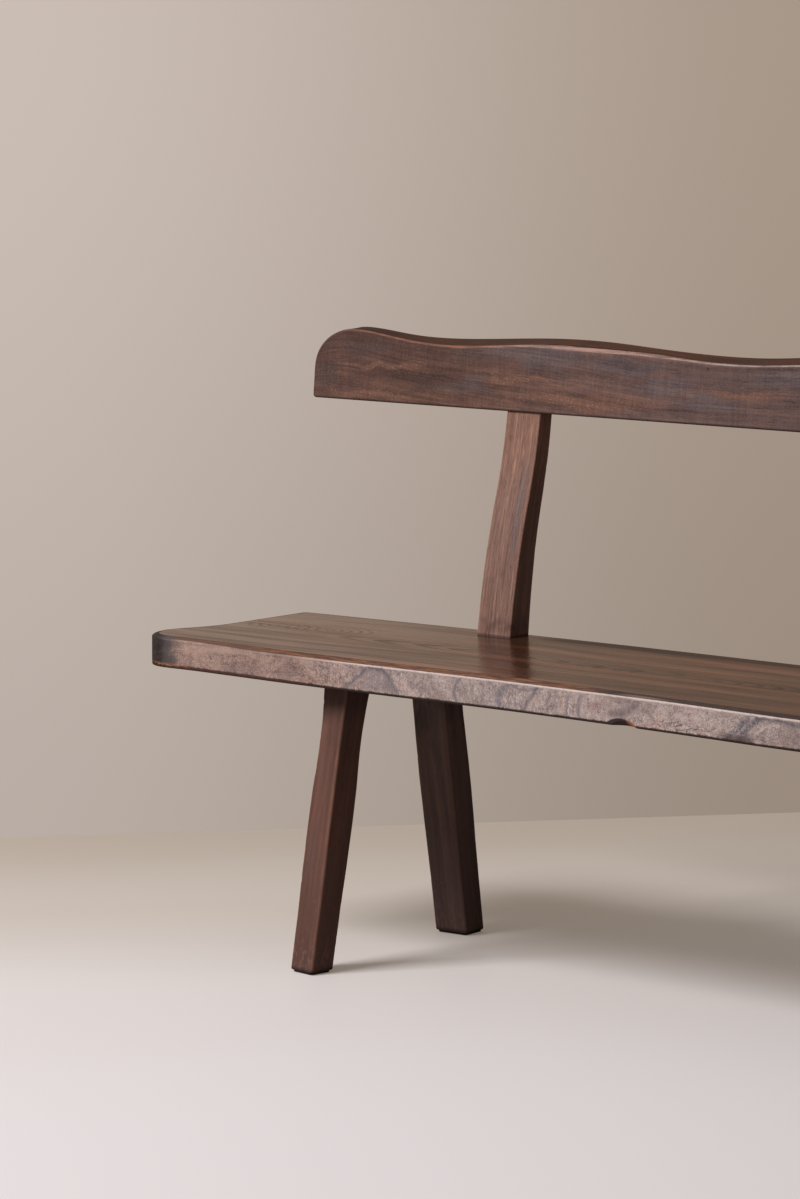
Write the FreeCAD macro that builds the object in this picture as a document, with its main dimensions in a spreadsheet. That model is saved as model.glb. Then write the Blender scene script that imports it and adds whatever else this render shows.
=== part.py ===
import FreeCAD, Part
import math
import os

import Sketcher
from FreeCAD import Placement, Rotation, Vector

# A long low-backed bench: a live-edged slab seat on four splayed legs, with two S-curved posts
# that carry a wavy back rail. Millimetres. X runs along the bench, -Y is the front, +Z is up.
# The origin is on the floor, under the middle of the bench.

SIZES = {
    # seat slab
    "seat_length": 1700.0,
    "seat_height": 450.0,
    "seat_thickness": 46.0,
    "seat_depth": 335.0,
    "seat_back_line": 148.0,
    "seat_ear": 28.5,
    "ear_setback": 50.0,
    "front_bulge": 38.5,
    "back_bulge": 20.5,
    "seat_corner": 8.0,
    "front_bevel_run": 8.0,
    "front_bevel_drop": 5.0,
    "seat_edge_easing": 2.5,
    # legs: width lies along the bench and depth across it
    "front_leg_inset": 349.0,
    "front_leg_setback": 52.0,
    "front_leg_turn_angle": 8.0,
    "front_leg_head_width": 50.5,
    "front_leg_head_depth": 49.0,
    "front_leg_neck_width": 44.0,
    "front_leg_neck_depth": 44.5,
    "front_leg_belly_width": 46.5,
    "front_leg_belly_depth": 47.0,
    "front_leg_shin_width": 47.0,
    "front_leg_shin_depth": 45.0,
    "front_leg_foot_width": 45.5,
    "front_leg_foot_depth": 43.0,
    "rear_leg_inset": 328.0,
    "rear_leg_setback": 64.5,
    "rear_leg_turn_angle": 3.5,
    "rear_leg_head_width": 59.0,
    "rear_leg_head_depth": 53.0,
    "rear_leg_neck_width": 58.5,
    "rear_leg_neck_depth": 50.0,
    "rear_leg_belly_width": 59.5,
    "rear_leg_belly_depth": 51.5,
    "rear_leg_shin_width": 58.0,
    "rear_leg_shin_depth": 49.0,
    "rear_leg_foot_width": 57.5,
    "rear_leg_foot_depth": 47.0,
    "leg_neck_drop": 65.0,
    "leg_belly_drop": 150.0,
    "leg_shin_drop": 285.0,
    "leg_splay": 68.5,
    "leg_corner": 4.5,
    "foot_chamfer": 2.0,
    "leg_tenon_radius": 17.0,
    "leg_tenon_length": 33.0,
    "leg_tenon_root": 8.5,
    # felt glides
    "glide_thickness": 3.0,
    "glide_margin": 3.0,
    # back posts
    "post_inset": 412.0,
    "post_setback": 10.0,
    "post_width": 61.5,
    "post_foot_depth": 46.0,
    "post_head_depth": 30.0,
    "post_sweep": 68.5,
    "post_waist_rise": 195.0,
    "post_waist_sweep": 41.0,
    "post_back_waist_rise": 205.0,
    "post_back_waist_sweep": 32.5,
    "post_front_radius": 1229.0,
    "post_back_radius": 1191.0,
    "post_corner": 3.0,
    "foot_tenon_width": 40.0,
    "foot_tenon_depth": 24.0,
    "head_tenon_width": 38.0,
    "head_tenon_depth": 14.0,
    "head_tenon_length": 60.0,
    # back rail
    "back_gap": 320.0,
    "rail_length": 1670.0,
    "rail_thickness": 36.0,
    "rail_crest": 110.0,
    "rail_wave_depth": 17.5,
    "rail_front_drop": 5.0,
    "rail_shoulder": 70.0,
    "rail_lean_angle": 5.0,
    "rail_easing": 2.0,
    "rail_corner": 5.0,
    # wedges and pegs
    "wedge_head": 3.2,
    "wedge_tip": 0.8,
    "wedge_length": 24.0,
    "leg_wedge_width": 30.0,
    "post_wedge_spacing": 20.0,
    "peg_radius": 4.0,
    "peg_bevel": 0.8,
    "peg_length": 29.0,
    "peg_spacing": 20.0,
    "peg_rise": 32.0,
    # clearances, and how far a cutter runs past the face it opens
    "cutter_overrun": 1.0,
    "tenon_fit": 0.1,
    "wedge_fit": 0.05,
    "peg_fit": 0.05,
    "blind_gap": 0.2,
}

# The live edges: (share of the half length, share of the edge's bulge beyond its straight line).
FRONT_WAVE = [(-0.90, 0.01), (-0.70, 0.17), (-0.24, 0.155), (0.03, 0.375), (0.20, 0.65),
              (0.37, 0.935), (0.52, 1.0), (0.74, 0.805), (0.90, 0.31)]
BACK_WAVE = [(-0.95, 0.0), (-0.64, 0.61), (-0.30, 1.0), (0.06, 0.855), (0.40, 0.635),
             (0.70, 0.44), (0.96, 0.0)]

# The end of the slab, from its rear corner round to the ear's tip:
# (how far inside the ear's tip as a share of the ear, share of the ear's reach from the back).
END_WAVE = [(0.98, 0.309), (0.98, 0.519), (0.74, 0.754), (0.25, 0.884)]

# The turn from the ear's tip into the front edge: (share of the run along the bench,
# share of the rise to the straight front line).
EAR_TURN = [(0.033, 0.49), (0.175, 0.815)]

# The rail's top: (share of the half length, fall of the front arris, fall of the back edge),
# both falls measured from the crest as shares of the wave's depth.
RAIL_WAVE = [(-0.814, 0.50, 0.40), (-0.700, 0.915, 0.515), (-0.491, 0.43, 0.04),
             (-0.360, 0.50, 0.10), (-0.275, 0.57, 0.355), (-0.132, 1.0, 0.65),
             (-0.036, 0.995, 0.59), (0.048, 0.76, 0.315), (0.190, 0.455, 0.06),
             (0.360, 0.63, 0.285), (0.540, 0.97, 0.60), (0.710, 0.80, 0.455),
             (0.830, 0.345, 0.23)]

# The rail's rounded shoulder: (share of the shoulder's run, share of the crest's height).
SHOULDER_CURVE = [(0.04, 0.60), (0.26, 0.82), (0.47, 0.914)]
SHOULDER_START = 0.29

# How far the middle of a quarter circle lies from its square corner, as a share of the radius.
ARC_MIDDLE = 1 - math.sqrt(0.5)

LEFT = -1
RIGHT = 1

# How near two heights must be to count as the same when an edge is looked for.
SLACK = 0.01

doc = FreeCAD.newDocument("monks_bench")
sheet = doc.addObject("Spreadsheet::Sheet", "Sizes")
for row, (alias, value) in enumerate(SIZES.items(), start=1):
    sheet.set("A%d" % row, alias)
    sheet.set("B%d" % row, str(value))
    sheet.setAlias("B%d" % row, alias)
doc.recompute()


def size(alias):
    """One driving dimension, read back from the sheet."""
    return float(sheet.get(alias))


def cell(alias):
    """The expression that names a driving dimension."""
    return "Sizes.%s" % alias


HALF_LENGTH = size("seat_length") / 2
UNDERSIDE = size("seat_height") - size("seat_thickness")
LEG_LENGTH = UNDERSIDE - size("glide_thickness")
LEG_TILT = math.degrees(math.atan2(size("leg_splay"), LEG_LENGTH))
SEAT_FRONT_LINE = size("seat_back_line") - size("seat_depth")

# Where things stand on the seat.
POST_X = HALF_LENGTH - size("post_inset")
POST_Y = size("seat_back_line") - size("post_setback")

# The rail's own frame: its front bottom edge, its upward direction and its way back.
RAIL_LEAN = math.radians(size("rail_lean_angle"))
HEAD_REVEAL = (size("rail_thickness") - size("post_head_depth")) / 2
HEAD_FRONT_Y = POST_Y - size("post_foot_depth") / 2 + size("post_sweep")
RAIL_Y = HEAD_FRONT_Y - HEAD_REVEAL * math.cos(RAIL_LEAN)
RAIL_Z = size("seat_height") + size("back_gap")
RAIL_FRAME = Placement(Vector(0, RAIL_Y, RAIL_Z), Rotation(Vector(1, 0, 0), -size("rail_lean_angle")))


def new_body(name, placement):
    """An empty body that stands at the placement."""
    body = doc.addObject("PartDesign::Body", name)
    body.Placement = placement
    return body


def origin_plane(body, role):
    """One of the body's own origin planes, found by its role."""
    for feature in body.Origin.OriginFeatures:
        if feature.Role == role:
            return feature
    raise ValueError("the body has no plane " + role)


def new_sketch(body, name, role, offset=Placement()):
    """A sketch on one of the body's origin planes."""
    sketch = body.newObject("Sketcher::SketchObject", name)
    sketch.AttachmentSupport = [(origin_plane(body, role), "")]
    sketch.MapMode = "FlatFace"
    sketch.AttachmentOffset = offset
    return sketch


def bind(sketch, constraint, name, expression):
    """Add a dimension and tie it to the sheet."""
    index = sketch.addConstraint(constraint)
    sketch.renameConstraint(index, name)
    sketch.setExpression("Constraints." + name, expression)
    return index


def draw_lines(sketch, points):
    """A closed outline of straight lines, joined end to end."""
    count = len(points)
    for index in range(count):
        start = Vector(*points[index], 0)
        end = Vector(*points[(index + 1) % count], 0)
        sketch.addGeometry(Part.LineSegment(start, end), False)
    for index in range(count):
        following = (index + 1) % count
        sketch.addConstraint(Sketcher.Constraint("Coincident", index, 2, following, 1))


def draw_rectangle(sketch, width, depth, width_expression, depth_expression):
    """A rectangle centred on the sketch's origin."""
    draw_lines(sketch, [(-width / 2, -depth / 2), (width / 2, -depth / 2),
                        (width / 2, depth / 2), (-width / 2, depth / 2)])
    for index, kind in enumerate(["Horizontal", "Vertical", "Horizontal", "Vertical"]):
        sketch.addConstraint(Sketcher.Constraint(kind, index))
    sketch.addConstraint(Sketcher.Constraint("Symmetric", 0, 1, 2, 1, -1, 1))
    bind(sketch, Sketcher.Constraint("DistanceX", 0, 1, 0, 2, width), "width", width_expression)
    bind(sketch, Sketcher.Constraint("DistanceY", 1, 1, 1, 2, depth), "depth", depth_expression)


def draw_rounded_rectangle(sketch, width, depth, corner, names):
    """A rectangle with round corners, centred on the sketch's origin.

    names holds the expressions for the width, the depth and the corner's radius.
    """
    x, y = width / 2, depth / 2
    flat_x, flat_y = x - corner, y - corner
    sides = [((-flat_x, -y), (flat_x, -y)), ((x, -flat_y), (x, flat_y)),
             ((flat_x, y), (-flat_x, y)), ((-x, flat_y), (-x, -flat_y))]
    centres = [(flat_x, -flat_y, -90), (flat_x, flat_y, 0), (-flat_x, flat_y, 90),
               (-flat_x, -flat_y, 180)]
    for start, end in sides:
        sketch.addGeometry(Part.LineSegment(Vector(*start, 0), Vector(*end, 0)), False)
    for centre_x, centre_y, first in centres:
        circle = Part.Circle(Vector(centre_x, centre_y, 0), Vector(0, 0, 1), corner)
        arc = Part.ArcOfCircle(circle, math.radians(first), math.radians(first + 90))
        sketch.addGeometry(arc, False)
    for side in range(4):
        arc = 4 + side
        following = (side + 1) % 4
        sketch.addConstraint(Sketcher.Constraint("Tangent", side, 2, arc, 1))
        sketch.addConstraint(Sketcher.Constraint("Tangent", arc, 2, following, 1))
    for side, kind in enumerate(["Horizontal", "Vertical", "Horizontal", "Vertical"]):
        sketch.addConstraint(Sketcher.Constraint(kind, side))
    for arc in (5, 6, 7):
        sketch.addConstraint(Sketcher.Constraint("Equal", 4, arc))
    sketch.addConstraint(Sketcher.Constraint("Symmetric", 4, 3, 6, 3, -1, 1))
    bind(sketch, Sketcher.Constraint("DistanceX", 3, 1, 1, 1, width), "width", names[0])
    bind(sketch, Sketcher.Constraint("DistanceY", 0, 1, 2, 1, depth), "depth", names[1])
    bind(sketch, Sketcher.Constraint("Radius", 4, corner), "corner", names[2])


def pad(body, sketch, name, length_expression, midplane=False, reverse=False):
    """Extrude a sketch by a length from the sheet."""
    feature = body.newObject("PartDesign::Pad", name)
    feature.Profile = sketch
    feature.Length = 1.0
    feature.setExpression("Length", length_expression)
    feature.Midplane = midplane
    feature.Reversed = reverse
    body.Tip = feature
    return feature


def cut(name, base, tools):
    """The base with every tool taken out of it."""
    result = base
    for number, tool in enumerate(tools, start=1):
        previous = result
        result = doc.addObject("Part::Cut", "%s_cut_%d" % (name, number))
        result.Base = previous
        result.Tool = tool
    return result


def fuse(name, base, tool):
    """Two shapes joined into one piece of wood."""
    result = doc.addObject("Part::Fuse", name)
    result.Base = base
    result.Tool = tool
    result.Refine = True
    return result


def cylinder(name, placement, radius_expression, height_expression):
    """A round rod or drill that starts at the placement and runs along its Z."""
    rod = doc.addObject("Part::Cylinder", name)
    rod.setExpression("Radius", radius_expression)
    rod.setExpression("Height", height_expression)
    rod.Placement = placement
    return rod


def block(name, placement, lengths):
    """A box centred on the placement in X and Y that rises along its Z.

    lengths holds the expressions for its three sides.
    """
    solid = doc.addObject("Part::Box", name)
    for side, expression in zip(("Length", "Width", "Height"), lengths):
        solid.setExpression(side, expression)
    doc.recompute()
    corner = Vector(-solid.Length.Value / 2, -solid.Width.Value / 2, 0)
    solid.Placement = placement * Placement(corner, Rotation())
    return solid


def taper(name, placement, width_expression, fit=None):
    """A flat wedge: its tip at the placement, its head up along Z, its width along Y.

    With the alias of a fit, its faces stand out by that much, which makes the wedge's kerf.
    """
    body = new_body(name, placement)
    sketch = new_sketch(body, name + "_outline", "XZ_Plane")
    growth = size(fit) if fit else 0.0
    tip = size("wedge_tip") / 2 + growth
    head = size("wedge_head") / 2 + growth
    length = size("wedge_length")
    draw_lines(sketch, [(-tip, 0), (tip, 0), (head, length), (-head, length)])
    sketch.addConstraint(Sketcher.Constraint("Horizontal", 0))
    sketch.addConstraint(Sketcher.Constraint("Symmetric", 0, 1, 0, 2, -1, 1))
    sketch.addConstraint(Sketcher.Constraint("Symmetric", 2, 1, 2, 2, -2))
    grow = " + 2 * " + cell(fit) if fit else ""
    bind(sketch, Sketcher.Constraint("DistanceX", 0, 1, 0, 2, 2 * tip), "tip",
         cell("wedge_tip") + grow)
    bind(sketch, Sketcher.Constraint("DistanceX", 2, 2, 2, 1, 2 * head), "head",
         cell("wedge_head") + grow)
    bind(sketch, Sketcher.Constraint("DistanceY", 0, 1, 2, 2, length), "length",
         cell("wedge_length"))
    pad(body, sketch, name + "_pad", width_expression, midplane=True)
    return body


def spline(points, start=None, end=None):
    """A smooth edge through the points, with its end directions where they are given."""
    curve = Part.BSplineCurve()
    if start is None:
        curve.interpolate(Points=points)
    else:
        curve.interpolate(Points=points, InitialTangent=start, FinalTangent=end)
    return curve.toShape()


def seat_outline(z, front_inset, edge_inset):
    """The slab's outline at one height, drawn in from the full outline by the two insets."""
    half = HALF_LENGTH - edge_inset
    ear = size("seat_ear")
    back = size("seat_back_line")
    corner = size("seat_corner")
    setback = size("ear_setback")
    reach = size("seat_depth") - setback

    def front_point(share, rise):
        bulge = rise * size("front_bulge")
        return Vector(share * HALF_LENGTH, SEAT_FRONT_LINE - bulge + front_inset, z)

    def back_point(share, rise):
        bulge = rise * size("back_bulge")
        return Vector(share * HALF_LENGTH, back + bulge - edge_inset, z)

    front = [front_point(*point) for point in FRONT_WAVE]
    rear = [back_point(*point) for point in BACK_WAVE]
    along = Vector(1, 0, 0)
    forward = Vector(0, -1, 0)

    def end_edges(side):
        """The end from the rear corner to the ear's tip, and the turn into the front edge."""
        inner = side * (half - ear)
        tip = Vector(side * half, back - reach, z)
        shoulder = Vector(inner, back - edge_inset - corner, z)
        stations = [shoulder]
        for share, distance in END_WAVE:
            stations.append(Vector(side * (half - share * ear), back - distance * reach, z))
        stations.append(tip)
        front_end = front[0] if side == LEFT else front[-1]
        run = half - abs(front_end.x)
        turn = [tip]
        for inset, fall in EAR_TURN:
            turn.append(Vector(side * (half - inset * run),
                               back - reach - fall * setback + front_inset / 2, z))
        turn.append(front_end)
        arc_middle = Vector(inner - side * corner * ARC_MIDDLE,
                            back - edge_inset - corner * ARC_MIDDLE, z)
        corner_end = Vector(inner - side * corner, back - edge_inset, z)
        rear_corner = Part.Arc(shoulder, arc_middle, corner_end).toShape()
        run_in = Vector(-side, 0, 0)
        return [rear_corner, spline(stations, forward, forward), spline(turn, forward, run_in)]

    left = end_edges(LEFT)
    right = end_edges(RIGHT)
    left_corner = left[0].Vertexes[-1].Point
    right_corner = right[0].Vertexes[-1].Point
    back_edge = spline([left_corner] + rear[1:-1] + [right_corner])
    front_edge = spline(front, along, along)
    edges = [back_edge] + right + [front_edge] + left
    return Part.Wire(Part.__sortEdges__(edges))


def make_seat_blank():
    """The slab with its bevelled front arris and eased edges, before the mortises."""
    easing = size("seat_edge_easing")
    top = size("seat_height")
    levels = [
        (UNDERSIDE, easing, easing),
        (UNDERSIDE + easing, 0.0, 0.0),
        (top - size("front_bevel_drop"), 0.0, 0.0),
        (top, size("front_bevel_run"), easing),
    ]
    wires = [seat_outline(*level) for level in levels]
    blank = doc.addObject("Part::Feature", "seat_blank")
    blank.Shape = Part.makeLoft(wires, True, True)
    blank.Placement = Placement()
    return blank


def rail_outline(depth, share_back, inset):
    """The rail's outline at one depth behind its face.

    share_back is 0 for the front arris's wave and 1 for the back edge's.
    """
    half = size("rail_length") / 2 - inset
    drop = size("rail_front_drop") * (1 - share_back)
    crest = size("rail_crest") - drop - inset
    corner = size("rail_corner")
    shoulder = size("rail_shoulder")

    def wave_point(share, front_fall, back_fall):
        fall = (front_fall + (back_fall - front_fall) * share_back) * size("rail_wave_depth")
        return Vector(share * size("rail_length") / 2, depth, crest - fall)

    def end_edges(side):
        """The round bottom corner, the upright and the shoulder up to the crest."""
        foot = Vector(side * half, depth, inset + corner)
        middle = Vector(side * (half - corner * ARC_MIDDLE), depth, inset + corner * ARC_MIDDLE)
        toe = Vector(side * (half - corner), depth, inset)
        start = Vector(side * half, depth, crest * SHOULDER_START)
        curve = [start]
        for run, rise in SHOULDER_CURVE:
            curve.append(Vector(side * (half - run * shoulder), depth, rise * crest))
        curve.append(Vector(side * (half - shoulder), depth, crest))
        rounded = Part.Arc(toe, middle, foot).toShape()
        upright = Part.LineSegment(foot, start).toShape()
        return [rounded, upright, spline(curve, Vector(0, 0, 1), Vector(-side, 0, 0))]

    left_crest = Vector(-(half - shoulder), depth, crest)
    right_crest = Vector(half - shoulder, depth, crest)
    top_points = [left_crest] + [wave_point(*point) for point in RAIL_WAVE] + [right_crest]
    top_edge = spline(top_points, Vector(1, 0, 0), Vector(1, 0, 0))
    underside = Part.LineSegment(Vector(-(half - corner), depth, inset),
                                 Vector(half - corner, depth, inset)).toShape()
    edges = [underside] + end_edges(RIGHT) + [top_edge] + end_edges(LEFT)
    return Part.Wire(Part.__sortEdges__(edges))


def make_rail_blank():
    """The rail with its slanting wavy top and eased edges, before mortises and peg holes."""
    easing = size("rail_easing")
    thickness = size("rail_thickness")
    levels = [
        (0.0, 0.0, easing),
        (easing, 0.0, 0.0),
        (thickness - easing, 1.0, 0.0),
        (thickness, 1.0, easing),
    ]
    wires = [rail_outline(*level) for level in levels]
    blank = doc.addObject("Part::Feature", "rail_blank")
    blank.Shape = Part.makeLoft(wires, True, True)
    blank.Placement = RAIL_FRAME
    return blank


def leg_frame(front, side):
    """The leg's top centre on the seat's underside; its -Y points the way the leg splays."""
    kind = "front" if front else "rear"
    x = side * (HALF_LENGTH - size(kind + "_leg_inset"))
    turn = side * size(kind + "_leg_turn_angle")
    if front:
        y = SEAT_FRONT_LINE + size("front_leg_setback")
    else:
        y = size("seat_back_line") - size("rear_leg_setback")
        turn = 180 - turn
    return Placement(Vector(x, y, UNDERSIDE), Rotation(Vector(0, 0, 1), turn))


def tenon_frame(front, side):
    """The leg's frame tipped so that Z runs up the leg's own axis."""
    return leg_frame(front, side) * Placement(Vector(), Rotation(Vector(1, 0, 0), -LEG_TILT))


def leg_stations():
    """The leg's sections from the seat down: their names and how far below the seat they lie."""
    length = "(%s - %s - %s)" % (cell("seat_height"), cell("seat_thickness"),
                                 cell("glide_thickness"))
    return [("head", "0"), ("neck", cell("leg_neck_drop")), ("belly", cell("leg_belly_drop")),
            ("shin", cell("leg_shin_drop")), ("foot", length)]


def make_leg(front, side, name):
    """A splayed leg with a swelling middle, a round tenon and the kerf for its wedge."""
    kind = "front_leg" if front else "rear_leg"
    body = new_body(name + "_blank", leg_frame(front, side))
    stations = leg_stations()
    length = stations[-1][1]
    sections = []
    for station, drop in stations:
        sketch = new_sketch(body, "%s_%s" % (name, station), "XY_Plane")
        sketch.setExpression("AttachmentOffset.Base.z", "-%s" % drop)
        sketch.setExpression("AttachmentOffset.Base.y",
                             "-%s * %s / %s" % (cell("leg_splay"), drop, length))
        width = "%s_%s_width" % (kind, station)
        depth = "%s_%s_depth" % (kind, station)
        draw_rounded_rectangle(sketch, size(width), size(depth), size("leg_corner"),
                               [cell(width), cell(depth), cell("leg_corner")])
        sections.append(sketch)
    loft = body.newObject("PartDesign::AdditiveLoft", name + "_loft")
    loft.Profile = sections[0]
    loft.Sections = sections[1:]
    loft.Ruled = False
    body.Tip = loft
    doc.recompute()

    foot_edges = ["Edge%d" % number for number, edge in enumerate(loft.Shape.Edges, start=1)
                  if edge.BoundBox.ZMax < -LEG_LENGTH + SLACK]
    chamfer = body.newObject("PartDesign::Chamfer", name + "_foot_chamfer")
    chamfer.Base = (loft, foot_edges)
    chamfer.setExpression("Size", cell("foot_chamfer"))
    body.Tip = chamfer

    tipped = tenon_frame(front, side)
    root = Vector(0, 0, -size("leg_tenon_root"))
    tenon = cylinder(name + "_tenon", tipped * Placement(root, Rotation()),
                     cell("leg_tenon_radius"),
                     "%s + %s" % (cell("leg_tenon_length"), cell("leg_tenon_root")))
    whole = fuse(name + "_uncut", body, tenon)
    kerf_width = "2 * (%s + %s)" % (cell("leg_tenon_radius"), cell("cutter_overrun"))
    kerf = taper(name + "_kerf", tipped * Placement(wedge_seat(), Rotation()), kerf_width,
                 fit="wedge_fit")
    return cut(name, whole, [kerf])


def wedge_seat():
    """Where a leg wedge's tip lies along the tenon: its head stands just proud of the end."""
    proud = size("tenon_fit")
    return Vector(0, 0, size("leg_tenon_length") + proud - size("wedge_length"))


def make_leg_wedge(front, side, name):
    """The hidden wedge that spreads a leg's tenon against the mortise."""
    place = tenon_frame(front, side) * Placement(wedge_seat(), Rotation())
    return taper(name + "_wedge", place, cell("leg_wedge_width"))


def make_leg_mortise(front, side, name):
    """The drill for a leg's blind mortise."""
    start = Vector(0, 0, -size("leg_tenon_root"))
    depth = "%s + %s + %s" % (cell("leg_tenon_length"), cell("blind_gap"),
                              cell("leg_tenon_root"))
    return cylinder(name + "_mortise", tenon_frame(front, side) * Placement(start, Rotation()),
                    "%s + %s" % (cell("leg_tenon_radius"), cell("tenon_fit")), depth)


def make_glide(front, side, name):
    """The felt pad under a foot."""
    kind = "front_leg" if front else "rear_leg"
    centre = Vector(0, -size("leg_splay"), -LEG_LENGTH)
    body = new_body(name, leg_frame(front, side) * Placement(centre, Rotation()))
    sketch = new_sketch(body, name + "_outline", "XY_Plane")
    margin = 2 * size("glide_margin")
    width = kind + "_foot_width"
    depth = kind + "_foot_depth"
    names = ["%s - 2 * %s" % (cell(alias), cell("glide_margin")) for alias in (width, depth)]
    draw_rounded_rectangle(sketch, size(width) - margin, size(depth) - margin,
                           size("leg_corner"), names + [cell("leg_corner")])
    pad(body, sketch, name + "_pad", cell("glide_thickness"), reverse=True)
    return body


def post_frame(side):
    """The middle of a post's foot, on the seat."""
    return Placement(Vector(side * POST_X, POST_Y, size("seat_height")), Rotation())


def end_at(sketch, geometry, point):
    """Which end of a sketch's edge, 1 or 2, lies at the point."""
    first = (sketch.getPoint(geometry, 1) - point).Length
    second = (sketch.getPoint(geometry, 2) - point).Length
    return 1 if first < second else 2


def bowed_middle(first, last, radius):
    """The middle of an arc of the radius that bows to the right of the way from first to last."""
    chord = last - first
    rise = radius - math.sqrt(radius ** 2 - (chord.Length / 2) ** 2)
    right = Vector(chord.y, -chord.x, 0).normalize()
    return (first + last) / 2 + right * rise


def smooth_middle(foot, middle, waist, head):
    """The middle of the arc that leaves the lower arc smoothly at the waist and ends at the head."""
    centre = Part.Arc(foot, middle, waist).toShape().Curve.Center
    outward = (waist - centre).normalize()
    chord = head - waist
    radius = chord.Length ** 2 / (2 * abs(chord.dot(outward)))
    return bowed_middle(waist, head, radius)


def pin_point(sketch, geometry, point, name, across, up):
    """Tie one corner of the profile to its two expressions, measured from the origin."""
    end = end_at(sketch, geometry, point)
    bind(sketch, Sketcher.Constraint("DistanceX", -1, 1, geometry, end, point.x),
         name + "_across", across)
    if up:
        bind(sketch, Sketcher.Constraint("DistanceY", -1, 1, geometry, end, point.y),
             name + "_up", up)
    else:
        sketch.addConstraint(Sketcher.Constraint("PointOnObject", geometry, end, -1))


def draw_post_profile(sketch):
    """The S-curve seen from the end: two tangent arcs in front and two behind."""
    half = size("post_foot_depth") / 2
    foot = [Vector(-half, 0, 0), Vector(half, 0, 0)]
    waist = [Vector(-half + size("post_waist_sweep"), size("post_waist_rise"), 0),
             Vector(half + size("post_back_waist_sweep"), size("post_back_waist_rise"), 0)]
    head_across = size("post_sweep") - half
    head_up = size("back_gap") - HEAD_REVEAL * math.sin(RAIL_LEAN)
    head = [Vector(head_across, head_up, 0),
            Vector(head_across + size("post_head_depth") * math.cos(RAIL_LEAN),
                   head_up - size("post_head_depth") * math.sin(RAIL_LEAN), 0)]
    radii = [size("post_front_radius"), size("post_back_radius")]
    middle = [bowed_middle(waist[index], foot[index], radii[index]) for index in (0, 1)]
    upper = [smooth_middle(foot[index], middle[index], waist[index], head[index])
             for index in (0, 1)]
    sketch.addGeometry(Part.LineSegment(foot[0], foot[1]), False)
    sketch.addGeometry(Part.Arc(foot[1], middle[1], waist[1]), False)
    sketch.addGeometry(Part.Arc(waist[1], upper[1], head[1]), False)
    sketch.addGeometry(Part.LineSegment(head[1], head[0]), False)
    sketch.addGeometry(Part.Arc(head[0], upper[0], waist[0]), False)
    sketch.addGeometry(Part.Arc(waist[0], middle[0], foot[0]), False)
    base, back_lower, back_upper, top, front_upper, front_lower = range(6)

    def join(kind, first, second, point):
        ends = (first, end_at(sketch, first, point), second, end_at(sketch, second, point))
        sketch.addConstraint(Sketcher.Constraint(kind, *ends))

    join("Coincident", base, back_lower, foot[1])
    join("Tangent", back_lower, back_upper, waist[1])
    join("Coincident", back_upper, top, head[1])
    join("Coincident", top, front_upper, head[0])
    join("Tangent", front_upper, front_lower, waist[0])
    join("Coincident", front_lower, base, foot[0])

    half_foot = "%s / 2" % cell("post_foot_depth")
    lean = "(%s * 1 deg)" % cell("rail_lean_angle")
    reveal = "(%s - %s) / 2" % (cell("rail_thickness"), cell("post_head_depth"))
    head_x = "%s - %s" % (cell("post_sweep"), half_foot)
    head_y = "%s - %s * sin%s" % (cell("back_gap"), reveal, lean)
    pin_point(sketch, base, foot[0], "front_foot", "-" + half_foot, None)
    pin_point(sketch, base, foot[1], "back_foot", half_foot, None)
    pin_point(sketch, front_lower, waist[0], "front_waist",
              "%s - %s" % (cell("post_waist_sweep"), half_foot), cell("post_waist_rise"))
    pin_point(sketch, back_lower, waist[1], "back_waist",
              "%s + %s" % (cell("post_back_waist_sweep"), half_foot),
              cell("post_back_waist_rise"))
    pin_point(sketch, top, head[0], "front_head", head_x, head_y)
    pin_point(sketch, top, head[1], "back_head",
              "%s + %s * cos%s" % (head_x, cell("post_head_depth"), lean),
              "%s - %s * sin%s" % (head_y, cell("post_head_depth"), lean))
    bind(sketch, Sketcher.Constraint("Radius", front_lower, radii[0]), "front_radius",
         cell("post_front_radius"))
    bind(sketch, Sketcher.Constraint("Radius", back_lower, radii[1]), "back_radius",
         cell("post_back_radius"))


def peg_frames(side):
    """The two peg holes behind a post: each runs forward from the rail's back face."""
    forward = Rotation(Vector(1, 0, 0), 90)
    frames = []
    for step in (LEFT, RIGHT):
        start = Vector(side * POST_X + step * size("peg_spacing") / 2, size("rail_thickness"),
                       size("peg_rise"))
        frames.append(RAIL_FRAME * Placement(start, forward))
    return frames


def make_peg_holes(side, name):
    """The blind holes for one post's two pegs."""
    return [cylinder("%s_hole_%d" % (name, number), frame,
                     "%s + %s" % (cell("peg_radius"), cell("peg_fit")),
                     "%s + %s" % (cell("peg_length"), cell("blind_gap")))
            for number, frame in enumerate(peg_frames(side))]


def post_wedge_frames(side):
    """The two wedges of a post's foot tenon, heads down and flush with the seat's underside."""
    heads_down = Rotation(Vector(0, 1, 0), 180)
    frames = []
    for step in (LEFT, RIGHT):
        tip = Vector(side * POST_X + step * size("post_wedge_spacing") / 2, POST_Y,
                     UNDERSIDE + size("wedge_length"))
        frames.append(Placement(tip, heads_down))
    return frames


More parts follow.
